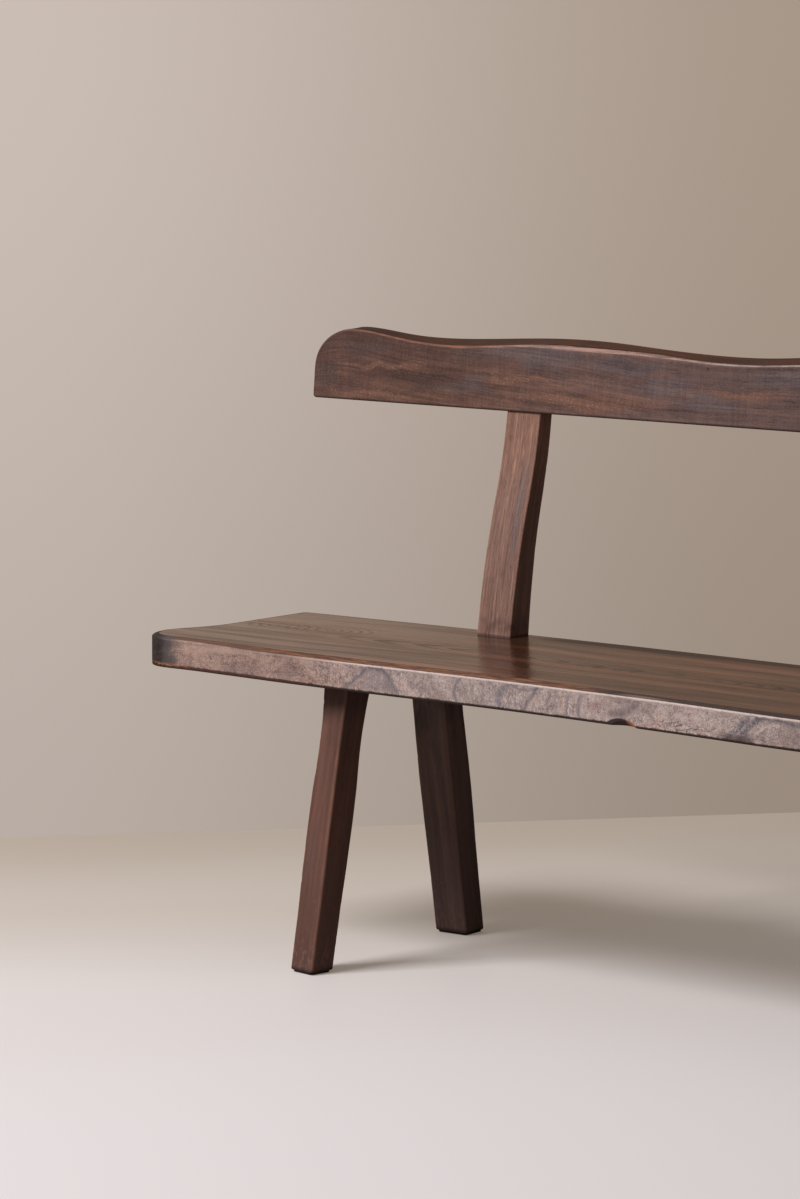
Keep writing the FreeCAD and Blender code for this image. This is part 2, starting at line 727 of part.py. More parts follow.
def make_post(side, name):
    """An S-curved back post with a wedged foot tenon and a pegged head tenon."""
    body = new_body(name + "_blank", post_frame(side))
    profile = new_sketch(body, name + "_profile", "YZ_Plane")
    draw_post_profile(profile)
    blank = pad(body, profile, name + "_curve", cell("post_width"), midplane=True)
    doc.recompute()

    arrises = ["Edge%d" % number for number, edge in enumerate(blank.Shape.Edges, start=1)
               if edge.BoundBox.XLength < SLACK and edge.BoundBox.ZLength > size("post_head_depth")]
    rounding = body.newObject("PartDesign::Fillet", name + "_arrises")
    rounding.Base = (blank, arrises)
    rounding.setExpression("Radius", cell("post_corner"))
    body.Tip = rounding

    foot = new_sketch(body, name + "_foot_tenon_outline", "XY_Plane")
    draw_rectangle(foot, size("foot_tenon_width"), size("foot_tenon_depth"),
                   cell("foot_tenon_width"), cell("foot_tenon_depth"))
    pad(body, foot, name + "_foot_tenon", cell("seat_thickness"), reverse=True)

    head_centre = RAIL_FRAME * Placement(Vector(0, size("rail_thickness") / 2, 0), Rotation())
    local = post_frame(0).inverse() * head_centre
    head = new_sketch(body, name + "_head_tenon_outline", "XY_Plane", local)
    draw_rectangle(head, size("head_tenon_width"), size("head_tenon_depth"),
                   cell("head_tenon_width"), cell("head_tenon_depth"))
    pad(body, head, name + "_head_tenon", cell("head_tenon_length"))

    kerf_width = "%s + 2 * %s" % (cell("foot_tenon_depth"), cell("cutter_overrun"))
    kerfs = [taper("%s_kerf_%d" % (name, number), frame, kerf_width, fit="wedge_fit")
             for number, frame in enumerate(post_wedge_frames(side))]
    return cut(name, body, kerfs + make_peg_holes(side, name))


def make_post_wedges(side, name):
    """The two wedges driven into a post's foot tenon from under the seat."""
    return [taper("%s_wedge_%d" % (name, number), frame, cell("foot_tenon_depth"))
            for number, frame in enumerate(post_wedge_frames(side))]


def make_peg(frame, name):
    """A wooden peg with a bevelled tip."""
    body = new_body(name, frame)
    sketch = new_sketch(body, name + "_outline", "XY_Plane")
    radius = size("peg_radius")
    sketch.addGeometry(Part.Circle(Vector(0, 0, 0), Vector(0, 0, 1), radius), False)
    sketch.addConstraint(Sketcher.Constraint("Coincident", 0, 3, -1, 1))
    bind(sketch, Sketcher.Constraint("Radius", 0, radius), "radius", cell("peg_radius"))
    rod = pad(body, sketch, name + "_rod", cell("peg_length"))
    doc.recompute()
    tip = ["Edge%d" % number for number, edge in enumerate(rod.Shape.Edges, start=1)
           if edge.BoundBox.ZMin > size("peg_length") - SLACK]
    bevel = body.newObject("PartDesign::Chamfer", name + "_tip")
    bevel.Base = (rod, tip)
    bevel.setExpression("Size", cell("peg_bevel"))
    body.Tip = bevel
    return body


def gather(name, members):
    """Identical fasteners kept together under one name."""
    group = doc.addObject("Part::Compound", name)
    group.Links = members
    return group


def make_post_mortise(side, name):
    """The square hole through the seat for a post's foot tenon."""
    start = Vector(side * POST_X, POST_Y, UNDERSIDE - size("cutter_overrun"))
    lengths = ["%s + 2 * %s" % (cell("foot_tenon_width"), cell("tenon_fit")),
               "%s + 2 * %s" % (cell("foot_tenon_depth"), cell("tenon_fit")),
               "%s + 2 * %s" % (cell("seat_thickness"), cell("cutter_overrun"))]
    return block(name + "_seat_mortise", Placement(start, Rotation()), lengths)


def make_rail_mortise(side, name):
    """The blind hole in the rail's underside for a post's head tenon."""
    start = Vector(side * POST_X, size("rail_thickness") / 2, -size("cutter_overrun"))
    lengths = ["%s + 2 * %s" % (cell("head_tenon_width"), cell("tenon_fit")),
               "%s + 2 * %s" % (cell("head_tenon_depth"), cell("tenon_fit")),
               "%s + %s + %s" % (cell("head_tenon_length"), cell("blind_gap"),
                                 cell("cutter_overrun"))]
    return block(name + "_rail_mortise", RAIL_FRAME * Placement(start, Rotation()), lengths)


corners = [(True, LEFT, "front_left"), (True, RIGHT, "front_right"),
           (False, LEFT, "rear_left"), (False, RIGHT, "rear_right")]
sides = [(LEFT, "left"), (RIGHT, "right")]

nodes = {}
leg_wedges = []
seat_cutters = []
for front, side, where in corners:
    leg_name = where + "_leg"
    nodes[leg_name] = make_leg(front, side, leg_name)
    leg_wedges.append(make_leg_wedge(front, side, leg_name))
    seat_cutters.append(make_leg_mortise(front, side, leg_name))
    nodes[where + "_glide"] = make_glide(front, side, where + "_glide")

post_wedges = []
pegs = []
rail_cutters = []
for side, where in sides:
    post_name = where + "_back_post"
    nodes[post_name] = make_post(side, post_name)
    post_wedges += make_post_wedges(side, post_name)
    seat_cutters.append(make_post_mortise(side, post_name))
    rail_cutters.append(make_rail_mortise(side, post_name))
    rail_cutters += make_peg_holes(side, where + "_rail")
    pegs += [make_peg(frame, "%s_rail_peg_%d" % (where, number))
             for number, frame in enumerate(peg_frames(side))]

nodes["seat_plank"] = cut("seat_plank", make_seat_blank(), seat_cutters)
nodes["back_rail"] = cut("back_rail", make_rail_blank(), rail_cutters)
nodes["leg_tenon_wedges"] = gather("leg_tenon_wedges", leg_wedges)
nodes["post_tenon_wedges"] = gather("post_tenon_wedges", post_wedges)
nodes["rail_pegs"] = gather("rail_pegs", pegs)
for name, node in nodes.items():
    node.Label = name

doc.recompute()

# Nothing is written unless every object was built and every piece is a whole solid.
for item in doc.Objects:
    if "Invalid" in item.State or "Error" in item.State:
        raise RuntimeError("%s failed: %s" % (item.Name, item.State))
    if item.TypeId == "Part::Cut" and len(item.Shape.Faces) <= len(item.Base.Shape.Faces):
        raise RuntimeError("%s removed nothing" % item.Name)
for name, node in nodes.items():
    if node.Shape.isNull() or not node.Shape.isValid() or not node.Shape.Solids:
        raise RuntimeError("%s is not a valid solid" % name)

os.makedirs("parts", exist_ok=True)
for name, node in nodes.items():
    node.Shape.exportStep("parts/%s.step" % name)
    print("%-20s solids %d volume %10.0f" % (name, len(node.Shape.Solids), node.Shape.Volume))
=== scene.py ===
import functools
import math

import bpy
import numpy as np
from mathutils import Matrix, Vector
from mathutils import noise as perlin


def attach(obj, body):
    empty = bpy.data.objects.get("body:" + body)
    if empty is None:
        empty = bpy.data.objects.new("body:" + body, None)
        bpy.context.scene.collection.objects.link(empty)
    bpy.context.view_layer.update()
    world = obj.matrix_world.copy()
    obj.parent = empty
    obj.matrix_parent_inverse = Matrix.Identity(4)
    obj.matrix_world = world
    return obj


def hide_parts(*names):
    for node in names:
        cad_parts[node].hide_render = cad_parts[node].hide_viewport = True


# The looks of a live-edged bench: a slab seat on four splayed legs and two curved posts with a
# wavy back rail. Lengths are in millimetres until a mesh is made, and metres from there on.
# X runs along the bench, -Y is the front, +Z is up, and the floor is at Z 0.

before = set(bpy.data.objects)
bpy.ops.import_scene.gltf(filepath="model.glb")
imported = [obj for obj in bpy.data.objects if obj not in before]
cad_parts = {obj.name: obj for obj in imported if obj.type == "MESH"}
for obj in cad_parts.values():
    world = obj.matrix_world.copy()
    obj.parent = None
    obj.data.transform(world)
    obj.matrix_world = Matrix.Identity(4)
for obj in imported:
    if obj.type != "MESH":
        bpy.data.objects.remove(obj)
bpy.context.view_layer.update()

MM = 0.001

# Sizes of the solids that the visible pieces follow

HALF_LENGTH = 850.0
SEAT_TOP = 450.0
SEAT_UNDERSIDE = 404.0
SEAT_BACK = 148.0
SEAT_FRONT = -187.0
FRONT_BULGE = 38.5
BACK_BULGE = 20.5
EAR = 28.5
EAR_SETBACK = 50.0
SEAT_REACH = 285.0
TIP_Y = SEAT_BACK - SEAT_REACH
SEAT_CORNER = 8.0
BEVEL_RUN = 8.0
BEVEL_DROP = 5.0
SEAT_EASING = 2.5
FACE_BOTTOM = SEAT_UNDERSIDE + SEAT_EASING

FRONT_WAVE = [(-0.90, 0.01), (-0.70, 0.17), (-0.24, 0.155), (0.03, 0.375), (0.20, 0.65),
              (0.37, 0.935), (0.52, 1.0), (0.74, 0.805), (0.90, 0.31)]
BACK_WAVE = [(-0.64, 0.61), (-0.30, 1.0), (0.06, 0.855), (0.40, 0.635), (0.70, 0.44)]
END_WAVE = [(0.98, 0.309), (0.98, 0.519), (0.74, 0.754), (0.25, 0.884)]
EAR_TURN = [(0.033, 0.49), (0.175, 0.815)]

RAIL_HALF = 835.0
RAIL_THICKNESS = 36.0
RAIL_CREST = 110.0
RAIL_FRONT_DROP = 5.0
RAIL_WAVE_DEPTH = 17.5
RAIL_SHOULDER = 70.0
RAIL_CORNER = 5.0
RAIL_EASING = 2.0
RAIL_LEAN = math.radians(5.0)
RAIL_BOTTOM = 770.0
RAIL_WAVE = [(-0.814, 0.50, 0.40), (-0.700, 0.915, 0.515), (-0.491, 0.43, 0.04),
             (-0.360, 0.50, 0.10), (-0.275, 0.57, 0.355), (-0.132, 1.0, 0.65),
             (-0.036, 0.995, 0.59), (0.048, 0.76, 0.315), (0.190, 0.455, 0.06),
             (0.360, 0.63, 0.285), (0.540, 0.97, 0.60), (0.710, 0.80, 0.455),
             (0.830, 0.345, 0.23)]
SHOULDER_CURVE = [(0.04, 0.60), (0.26, 0.82), (0.47, 0.914)]
SHOULDER_START = 0.29

POST_X = 438.0
POST_Y = 138.0
POST_WIDTH = 61.5
POST_FOOT = 46.0
POST_HEAD = 30.0
POST_SWEEP = 68.5
POST_CORNER = 3.0
POST_FRONT_WAIST = (41.0, 195.0)
POST_BACK_WAIST = (32.5, 205.0)
POST_RADII = (1229.0, 1191.0)
BACK_GAP = 320.0
TENON_WIDTH = 40.0
TENON_DEPTH = 24.0

HEAD_REVEAL = (RAIL_THICKNESS - POST_HEAD) / 2
HEAD_FRONT = POST_SWEEP - POST_FOOT / 2
RAIL_Y = POST_Y + HEAD_FRONT - HEAD_REVEAL * math.cos(RAIL_LEAN)

LEG_LENGTH = 401.0
LEG_SPLAY = 68.5
LEG_CORNER = 4.5
LEG_DROPS = [0.0, 65.0, 150.0, 285.0, LEG_LENGTH]
FOOT_ROUNDING = 2.6
GLIDE_HEIGHT = 3.0
GLIDE_MARGIN = 3.0
LEGS = {
    "front": {"x": 501.0, "y": -135.0, "turn": 8.0,
              "width": [50.5, 44.0, 46.5, 47.0, 45.5], "depth": [49.0, 44.5, 47.0, 45.0, 43.0]},
    "rear": {"x": 522.0, "y": 83.5, "turn": 3.5,
             "width": [59.0, 58.5, 59.5, 58.0, 57.5], "depth": [53.0, 50.0, 51.5, 49.0, 47.0]},
}

# How deep a piece runs on inside the one that carries it, so that no gap shows at the joint.
SUNK = 1.5


# Curves

def spline(points, count, start=None, end=None):
    """Evenly spaced points on a smooth curve through the given ones.

    start and end are the curve's directions at its ends, where they are given.
    """
    points = np.array(points, float)
    steps = np.linalg.norm(np.diff(points, axis=0), axis=1)
    at = np.concatenate([[0.0], np.cumsum(steps)])
    size = len(points)
    system = np.eye(size)
    wanted = np.zeros_like(points)
    slopes = np.diff(points, axis=0) / steps[:, None]
    for row in range(1, size - 1):
        before, after = steps[row - 1:row + 1]
        system[row, row - 1:row + 2] = before, 2 * (before + after), after
        wanted[row] = 6 * (slopes[row] - slopes[row - 1])
    if start is not None:
        system[0, :2] = 2 * steps[0], steps[0]
        wanted[0] = 6 * (slopes[0] - np.array(start, float))
    if end is not None:
        system[-1, -2:] = steps[-1], 2 * steps[-1]
        wanted[-1] = 6 * (np.array(end, float) - slopes[-1])
    bend = np.linalg.solve(system, wanted)

    dense = np.linspace(0, at[-1], 40 * size)
    left = np.clip(np.searchsorted(at, dense, side="right") - 1, 0, size - 2)
    step = steps[left][:, None]
    near = (at[left + 1] - dense)[:, None] / step
    far = (dense - at[left])[:, None] / step
    curve = near * points[left] + far * points[left + 1]
    curve += step ** 2 / 6 * ((near ** 3 - near) * bend[left] + (far ** 3 - far) * bend[left + 1])
    return even(curve, count)


def even(curve, count):
    """The same line, as count points evenly spaced along it."""
    curve = np.array(curve, float)
    steps = np.linalg.norm(np.diff(curve, axis=0), axis=1)
    at = np.concatenate([[0.0], np.cumsum(steps)])
    wanted = np.linspace(0, at[-1], count)
    return np.stack([np.interp(wanted, at, values) for values in curve.T], 1)


def arc(centre, radius, first, last, count):
    """Points on a circle's arc, between two angles in degrees."""
    angles = np.radians(np.linspace(first, last, count))
    return np.array(centre) + radius * np.stack([np.cos(angles), np.sin(angles)], 1)


def joined(*lines):
    """Lines laid end to end, without the doubled points."""
    whole = [np.array(lines[0], float)]
    for line in lines[1:]:
        line = np.array(line, float)
        whole.append(line[1:] if np.allclose(line[0], whole[-1][-1], atol=0.02) else line)
    return np.concatenate(whole)


def halves(line):
    """A line cut at the middle of its length."""
    line = even(line, 41)
    return line[:21], line[20:]


def outline(low, high, ends, columns, rows):
    """A closed outline, anticlockwise from its low side's left end.

    low and high run from left to right. ends holds three lines for the left and for the right
    end, that run from low to high: a corner, a long line and a corner. The corners are cut in
    half, so that the low and high sides have columns points and the two ends rows.
    """
    cut = [(*halves(first), upright, *halves(last)) for first, upright, last in ends]
    (left_toe, *left, left_tip), (right_toe, *right, right_tip) = cut
    front = even(joined(left_toe[::-1], low, right_toe), columns)
    back = even(joined(left_tip, high, right_tip[::-1]), columns)[::-1]
    right = even(joined(*right), rows)
    left = even(joined(*left), rows)[::-1]
    return np.concatenate([side[:-1] for side in (front, right, back, left)])


def sides_of(loop, columns, rows):
    """The four sides of a closed loop: front, right, back and left, as patch() takes them."""
    right = columns - 1
    back = right + rows - 1
    left = back + columns - 1
    closed = np.concatenate([loop, loop[:1]])
    return closed[:columns], closed[right:back + 1], closed[back:left + 1][::-1], closed[left:][::-1]


def patch(front, right, back, left):
    """A grid of points that fills four sides.

    front and back run from left to right, and left and right from front to back.
    """
    u = np.linspace(0, 1, len(front))[None, :, None]
    v = np.linspace(0, 1, len(left))[:, None, None]
    across = (1 - v) * front[None] + v * back[None]
    along = (1 - u) * left[:, None] + u * right[:, None]
    corners = ((1 - v) * ((1 - u) * front[0] + u * front[-1])
               + v * ((1 - u) * back[0] + u * back[-1]))
    return across + along - corners


def outward(loop):
    """The outward direction at each point of a closed loop that runs anticlockwise."""
    tangent = np.roll(loop, -1, axis=0) - np.roll(loop, 1, axis=0)
    normal = np.stack([tangent[:, 1], -tangent[:, 0]], 1)
    return normal / np.linalg.norm(normal, axis=1)[:, None]


def rounded_loop(half_width, half_depth, radius, per_side, per_corner):
    """A rectangle with round corners, as points, and how near each lies to a corner."""
    points = []
    wear = []
    bends = [arc((sx * (half_width - radius), sy * (half_depth - radius)), radius, first,
                 first + 90, per_corner)
             for sx, sy, first in [(1, -1, -90), (1, 1, 0), (-1, 1, 90), (-1, -1, 180)]]
    for bend, following in zip(bends, bends[1:] + bends[:1]):
        shares = np.arange(1, per_side + 1)[:, None] / (per_side + 1)
        points += [bend, bend[-1] * (1 - shares) + following[0] * shares]
        wear += [np.sin(np.linspace(0.25, math.pi - 0.25, per_corner)) ** 0.7,
                 0.25 * np.exp(-12 * np.minimum(shares, 1 - shares)[:, 0])]
    return np.concatenate(points), np.concatenate(wear)


def smoothstep(value):
    """A soft step from 0 to 1."""
    value = np.clip(value, 0, 1)
    return value * value * (3 - 2 * value)


def rough(points, scale, seed):
    """Soft noise between about -1 and 1 at points in millimetres. scale is a bump's size."""
    shift = Vector((seed * 17.3, seed * 5.1, seed * 9.7))
    values = [perlin.fractal(Vector(point) / scale + shift, 1.0, 2.0, 2) for point in points]
    return np.clip(np.array(values), -1, 1)


def hollow(points, scale, seed):
    """The same noise between 0 and 1, for how far a surface sinks."""
    return 0.5 * (rough(points, scale, seed) + 1)


# Meshes

class Board:
    """The points, faces and wear of one piece of wood. Wear is 1 on a bare arris."""

    def __init__(self):
        self.points = np.zeros((0, 3))
        self.wear = np.zeros(0)
        self.faces = []

    def add(self, points, wear=0.0):
        """Adds points and returns their numbers."""
        start = len(self.points)
        self.points = np.concatenate([self.points, points])
        self.wear = np.concatenate([self.wear, np.broadcast_to(wear, len(points))])
        return np.arange(start, len(self.points))

    def tube(self, rings, capped=True):
        """Quads between closed rings of point numbers, each below the one before."""
        for upper, lower in zip(rings, rings[1:]):
            quads = [lower, np.roll(lower, -1), np.roll(upper, -1), upper]
            self.faces += np.stack(quads, 1).tolist()
        if capped:
            self.faces += [rings[0].tolist(), rings[-1][::-1].tolist()]

    def cover(self, ring, shape, through, flip, size, dip, seed):
        """Fills a ring with a grid. Its inner points lie up to dip off, along the through axis."""
        columns, rows = shape
        edge = self.points[ring]
        plane = [axis for axis in range(3) if axis != through]
        inside = patch(*sides_of(edge[:, plane], columns, rows))[1:-1, 1:-1].reshape(-1, 2)
        level = np.full(len(inside), edge[:, through].mean())
        level += dip * hollow(np.column_stack([inside, level]), size, seed)
        grid = np.zeros((rows, columns), int)
        grid[0], grid[:, -1], grid[-1], grid[:, 0] = sides_of(ring, columns, rows)
        numbers = self.add(np.insert(inside, through, level, axis=1))
        grid[1:-1, 1:-1] = numbers.reshape(rows - 2, columns - 2)
        quads = np.stack([grid[:-1, :-1], grid[:-1, 1:], grid[1:, 1:], grid[1:, :-1]], -1)
        quads = quads.reshape(-1, 4)
        self.faces += (quads[:, ::-1] if flip else quads).tolist()

    def make(self, name, place, grain, **values):
        """The mesh piece, with its points carried by place().

        grain holds each point's place in its own board: along, across and through it. values are
        further numbers that the mesh carries at its points. All are in millimetres.
        """
        mesh = bpy.data.meshes.new(name)
        mesh.from_pydata((place(self.points) * MM).tolist(), [], self.faces)
        mesh.update()
        mesh.polygons.foreach_set("use_smooth", [True] * len(mesh.polygons))
        own = mesh.attributes.new("grain", "FLOAT_VECTOR", "POINT")
        own.data.foreach_set("vector", (grain * MM).astype(np.float32).ravel())
        for key, value in {"wear": self.wear, **values}.items():
            layer = mesh.attributes.new(key, "FLOAT", "POINT")
            layer.data.foreach_set("value", value.astype(np.float32))
        obj = bpy.data.objects.new(name, mesh)
        bpy.context.scene.collection.objects.link(obj)
        return obj


def as_it_is(points):
    """Points that already lie where they belong on the bench."""
    return points


def worn_in(points, outwards, wear, seed, dent, nick):
    """Points sunk by soft dents, and by nicks where there is wear.

    dent is a bump's size and depth. nick is a bump's size, how much of it counts and its depth.
    """
    outwards = np.column_stack([outwards, np.zeros(len(outwards))])
    outwards /= np.linalg.norm(outwards, axis=1)[:, None]
    size, depth = dent
    sunk = hollow(points, size, seed) * depth
    if nick:
        size, least, depth = nick
        sunk = sunk + np.clip(rough(points, size, seed + 1) - least, 0, 1) * wear * depth
    return points - outwards * sunk[:, None]


# Seat

SEAT_SHAPE = (560, 56)

# The bevel's rings: the share of its width and the inset, the drop, and the wear.
BEVEL_RINGS = [(1.0, 2.6, 0.0, 0.0), (1.0, 0.5, 0.02, 0.15), (1.0, -0.3, 0.12, 0.5),
               (0.82, 0.0, 0.9, 0.75), (0.6, 0.0, 2.0, 0.55), (0.38, 0.0, 3.1, 0.55),
               (0.17, 0.0, 4.1, 0.8), (0.05, 0.0, 4.75, 1.0), (0.0, 0.0, 5.5, 1.0),
               (0.0, 0.0, 6.6, 0.8)]
FACE_LEVELS = np.linspace(SEAT_TOP - BEVEL_DROP - 4.6, FACE_BOTTOM + 1.5, 13)
FACE_WEAR = 0.15

# The lower arris's rings: the inset, the height above the face's lower end, and the wear.
ARRIS_RINGS = [(0.0, 0.4, 0.6), (0.5, -0.9, 1.0), (1.5, -1.9, 1.0), (2.5, -2.2, 0.7),
               (5.0, -2.2, 0.1)]

# The lens-shaped chip in the lower front arris, where the bark had grown in.
CHIP_MIDDLE = 31.0
CHIP_HALF = 21.0
CHIP_RISE = 7.5
CHIP_SLOPE = 1.35

# Dents in the slab's sides and finer ones in its front: a bump's size and depth, and the seed.
SIDE_DENTS = (60.0, 0.9, 5)
FRONT_DENTS = (14.0, 0.35, 8)

# Where the sides start to count as the front, and over what length.
FRONT_START = TIP_Y + 6.0
FRONT_BLEND = 40.0

# Where the front bevel starts to turn into the ends' round arris, and over what length.
EAR_START = 795.0
EAR_BLEND = 35.0

# How wide the front bevel is along the slab, beside its size in the solid.
BEVEL_PLACES = [-850.0, -800.0, -660.0, -560.0, -200.0, -40.0, 90.0, 850.0]
BEVEL_SHARES = [1.0, 1.0, 1.0, 0.87, 0.87, 0.85, 0.70, 0.70]


def seat_outline():
    """The slab's outline, seen from above."""
    front = [(share * HALF_LENGTH, SEAT_FRONT - rise * FRONT_BULGE) for share, rise in FRONT_WAVE]
    back = [(share * HALF_LENGTH, SEAT_BACK + rise * BACK_BULGE) for share, rise in BACK_WAVE]
    inner = HALF_LENGTH - EAR
    ends = []
    for side, front_end in ((-1, front[0]), (1, front[-1])):
        tip = (side * HALF_LENGTH, TIP_Y)
        waves = [(side * (HALF_LENGTH - share * EAR), SEAT_BACK - distance * SEAT_REACH)
                 for share, distance in END_WAVE]
        upright = spline([(side * inner, SEAT_BACK - SEAT_CORNER), *waves, tip], 120,
                         (0, -1), (0, -1))
        run = HALF_LENGTH - abs(front_end[0])
        turns = [(side * (HALF_LENGTH - inset * run), TIP_Y - fall * EAR_SETBACK)
                 for inset, fall in EAR_TURN]
        turn = spline([tip, *turns, front_end], 60, (0, -1), (-side, 0))
        centre = (side * (inner - SEAT_CORNER), SEAT_BACK - SEAT_CORNER)
        corner = arc(centre, SEAT_CORNER, 90 - 90 * side, 90, 12)
        ends.append((turn[::-1], upright[::-1], corner))
    back = spline([ends[0][2][-1], *back, ends[1][2][-1]], 300)
    return outline(spline(front, 400, (1, 0), (1, 0)), back, ends, *SEAT_SHAPE)


def make_seat():
    """The slab: a flat waxed top, a bevelled live edge in front and eased edges elsewhere."""
    loop = seat_outline()
    count = len(loop)
    normal = outward(loop)
    x, y = loop.T
    frontness = smoothstep((FRONT_START - y) / FRONT_BLEND)
    share_here = 1 + (np.interp(x, BEVEL_PLACES, BEVEL_SHARES) - 1) * frontness
    wavy = 1 + 0.14 * rough(np.column_stack([loop, np.zeros(count)]), 90.0, 3)
    run = (SEAT_EASING + (BEVEL_RUN - SEAT_EASING) * frontness) * share_here * wavy
    lens = np.clip(1 - ((x - CHIP_MIDDLE) / CHIP_HALF) ** 2, 0, None) ** 0.8
    chip_rise = CHIP_RISE * lens * (frontness > 0.5)
    turned = smoothstep((np.abs(x) - EAR_START) / EAR_BLEND)

    # Each ring: how far in from the outline, its level, its wear and its drop below the top.
    rings = []
    for share, inset, drop, wear in BEVEL_RINGS:
        fall = np.full(count, drop)
        if 0.0 < share < 1.0:
            fall += (BEVEL_DROP * (1 - math.sqrt(1 - (1 - share) ** 2)) - drop) * turned
        rings.append((run * share + inset, SEAT_TOP - fall * share_here, wear, drop))
    for level in FACE_LEVELS:
        rings.append((0.0, level, FACE_WEAR, SEAT_TOP - level))
    for inset, rise, wear in ARRIS_RINGS:
        rings.append((inset, FACE_BOTTOM + rise, wear, SEAT_TOP - FACE_BOTTOM - rise))

    board = Board()
    numbers = []
    for inward, level, wear, _ in rings:
        level = np.broadcast_to(level, count)
        place = loop - normal * np.reshape(inward, (-1, 1))
        spots = np.column_stack([place, level])
        on_face = smoothstep((SEAT_TOP - 3.0 - level) / 4.0)
        wide, fine = [hollow(spots, size, seed) * depth
                      for size, depth, seed in (SIDE_DENTS, FRONT_DENTS)]
        dent = on_face * (wide + fine * frontness)
        dent *= 1 - 0.75 * turned
        lift = np.clip(chip_rise - (level - SEAT_UNDERSIDE), 0, None)
        place = place - normal * (dent + CHIP_SLOPE * lift)[:, None]
        numbers.append(board.add(np.column_stack([place, level]), wear))
    board.tube(numbers, capped=False)
    side_faces = len(board.faces)
    board.cover(numbers[0], SEAT_SHAPE, 2, False, 140.0, -0.22, 11)
    board.cover(numbers[-1], SEAT_SHAPE, 2, True, 140.0, 0.22, 12)
    inner = (len(board.points) - len(rings) * count) // 2
    drops = np.repeat([drop for _, _, _, drop in rings], count)
    bevel = np.concatenate([drops / BEVEL_DROP, np.zeros(inner), np.full(inner, 10.0)])
    front = np.concatenate([np.tile(frontness, len(rings)), np.zeros(2 * inner)])
    return board.make("seat_slab", as_it_is, board.points, bevel=bevel, front=front), side_faces


# Rail

RAIL_SHAPE = (520, 30)

# The rings of the front and the back arris: the inset, the depth and the wear.
RAIL_FRONT_RINGS = [(2.2, 0.0, 0.0), (1.25, 0.02, 0.35), (0.7, 0.12, 0.9), (0.3, 0.4, 1.0),
                    (0.08, 0.8, 0.9), (0.0, 1.5, 0.35)]
RAIL_BACK_RINGS = [(0.1, 2.6, 0.3), (0.2, 1.1, 0.9), (0.7, 0.3, 1.0), (1.5, 0.06, 0.6),
                   (3.2, 0.06, 0.0)]

# Where the rail's upper front arris is worn widest.
WORN_MIDDLE = -300.0
WORN_HALF = 120.0

# Above this height in the rail's own frame, an outline's points belong to its wavy top.
RAIL_UPPER = 60.0
RAIL_MEAN_TOP = 95.0


def rail_outline(share_back):
    """The rail's outline in its own plane, from its front face at 0 to its back face at 1."""
    crest = RAIL_CREST - RAIL_FRONT_DROP * (1 - share_back)
    inner = RAIL_HALF - RAIL_SHOULDER
    top = [(-inner, crest)]
    for share, front_fall, back_fall in RAIL_WAVE:
        fall = (front_fall + (back_fall - front_fall) * share_back) * RAIL_WAVE_DEPTH
        top.append((share * RAIL_HALF, crest - fall))
    top.append((inner, crest))
    ends = []
    for side in (-1, 1):
        centre = (side * (RAIL_HALF - RAIL_CORNER), RAIL_CORNER)
        corner = arc(centre, RAIL_CORNER, 90 - 180 * side, 90 - 90 * side, 10)
        start = (side * RAIL_HALF, crest * SHOULDER_START)
        curve = [(side * (RAIL_HALF - run * RAIL_SHOULDER), rise * crest)
                 for run, rise in SHOULDER_CURVE]
        shoulder = spline([start, *curve, (side * inner, crest)], 80, (0, 1), (-side, 0))
        ends.append((corner, [corner[-1], start], shoulder))
    bottom = [ends[0][0][0], ends[1][0][0]]
    return outline(bottom, spline(top, 500, (1, 0), (1, 0)), ends, *RAIL_SHAPE)


def rail_place(points):
    """Points of the rail's own frame (along, back, up) as points of the bench."""
    x, back, up = points.T
    return np.column_stack([x,
                            RAIL_Y + back * math.cos(RAIL_LEAN) + up * math.sin(RAIL_LEAN),
                            RAIL_BOTTOM - back * math.sin(RAIL_LEAN) + up * math.cos(RAIL_LEAN)])


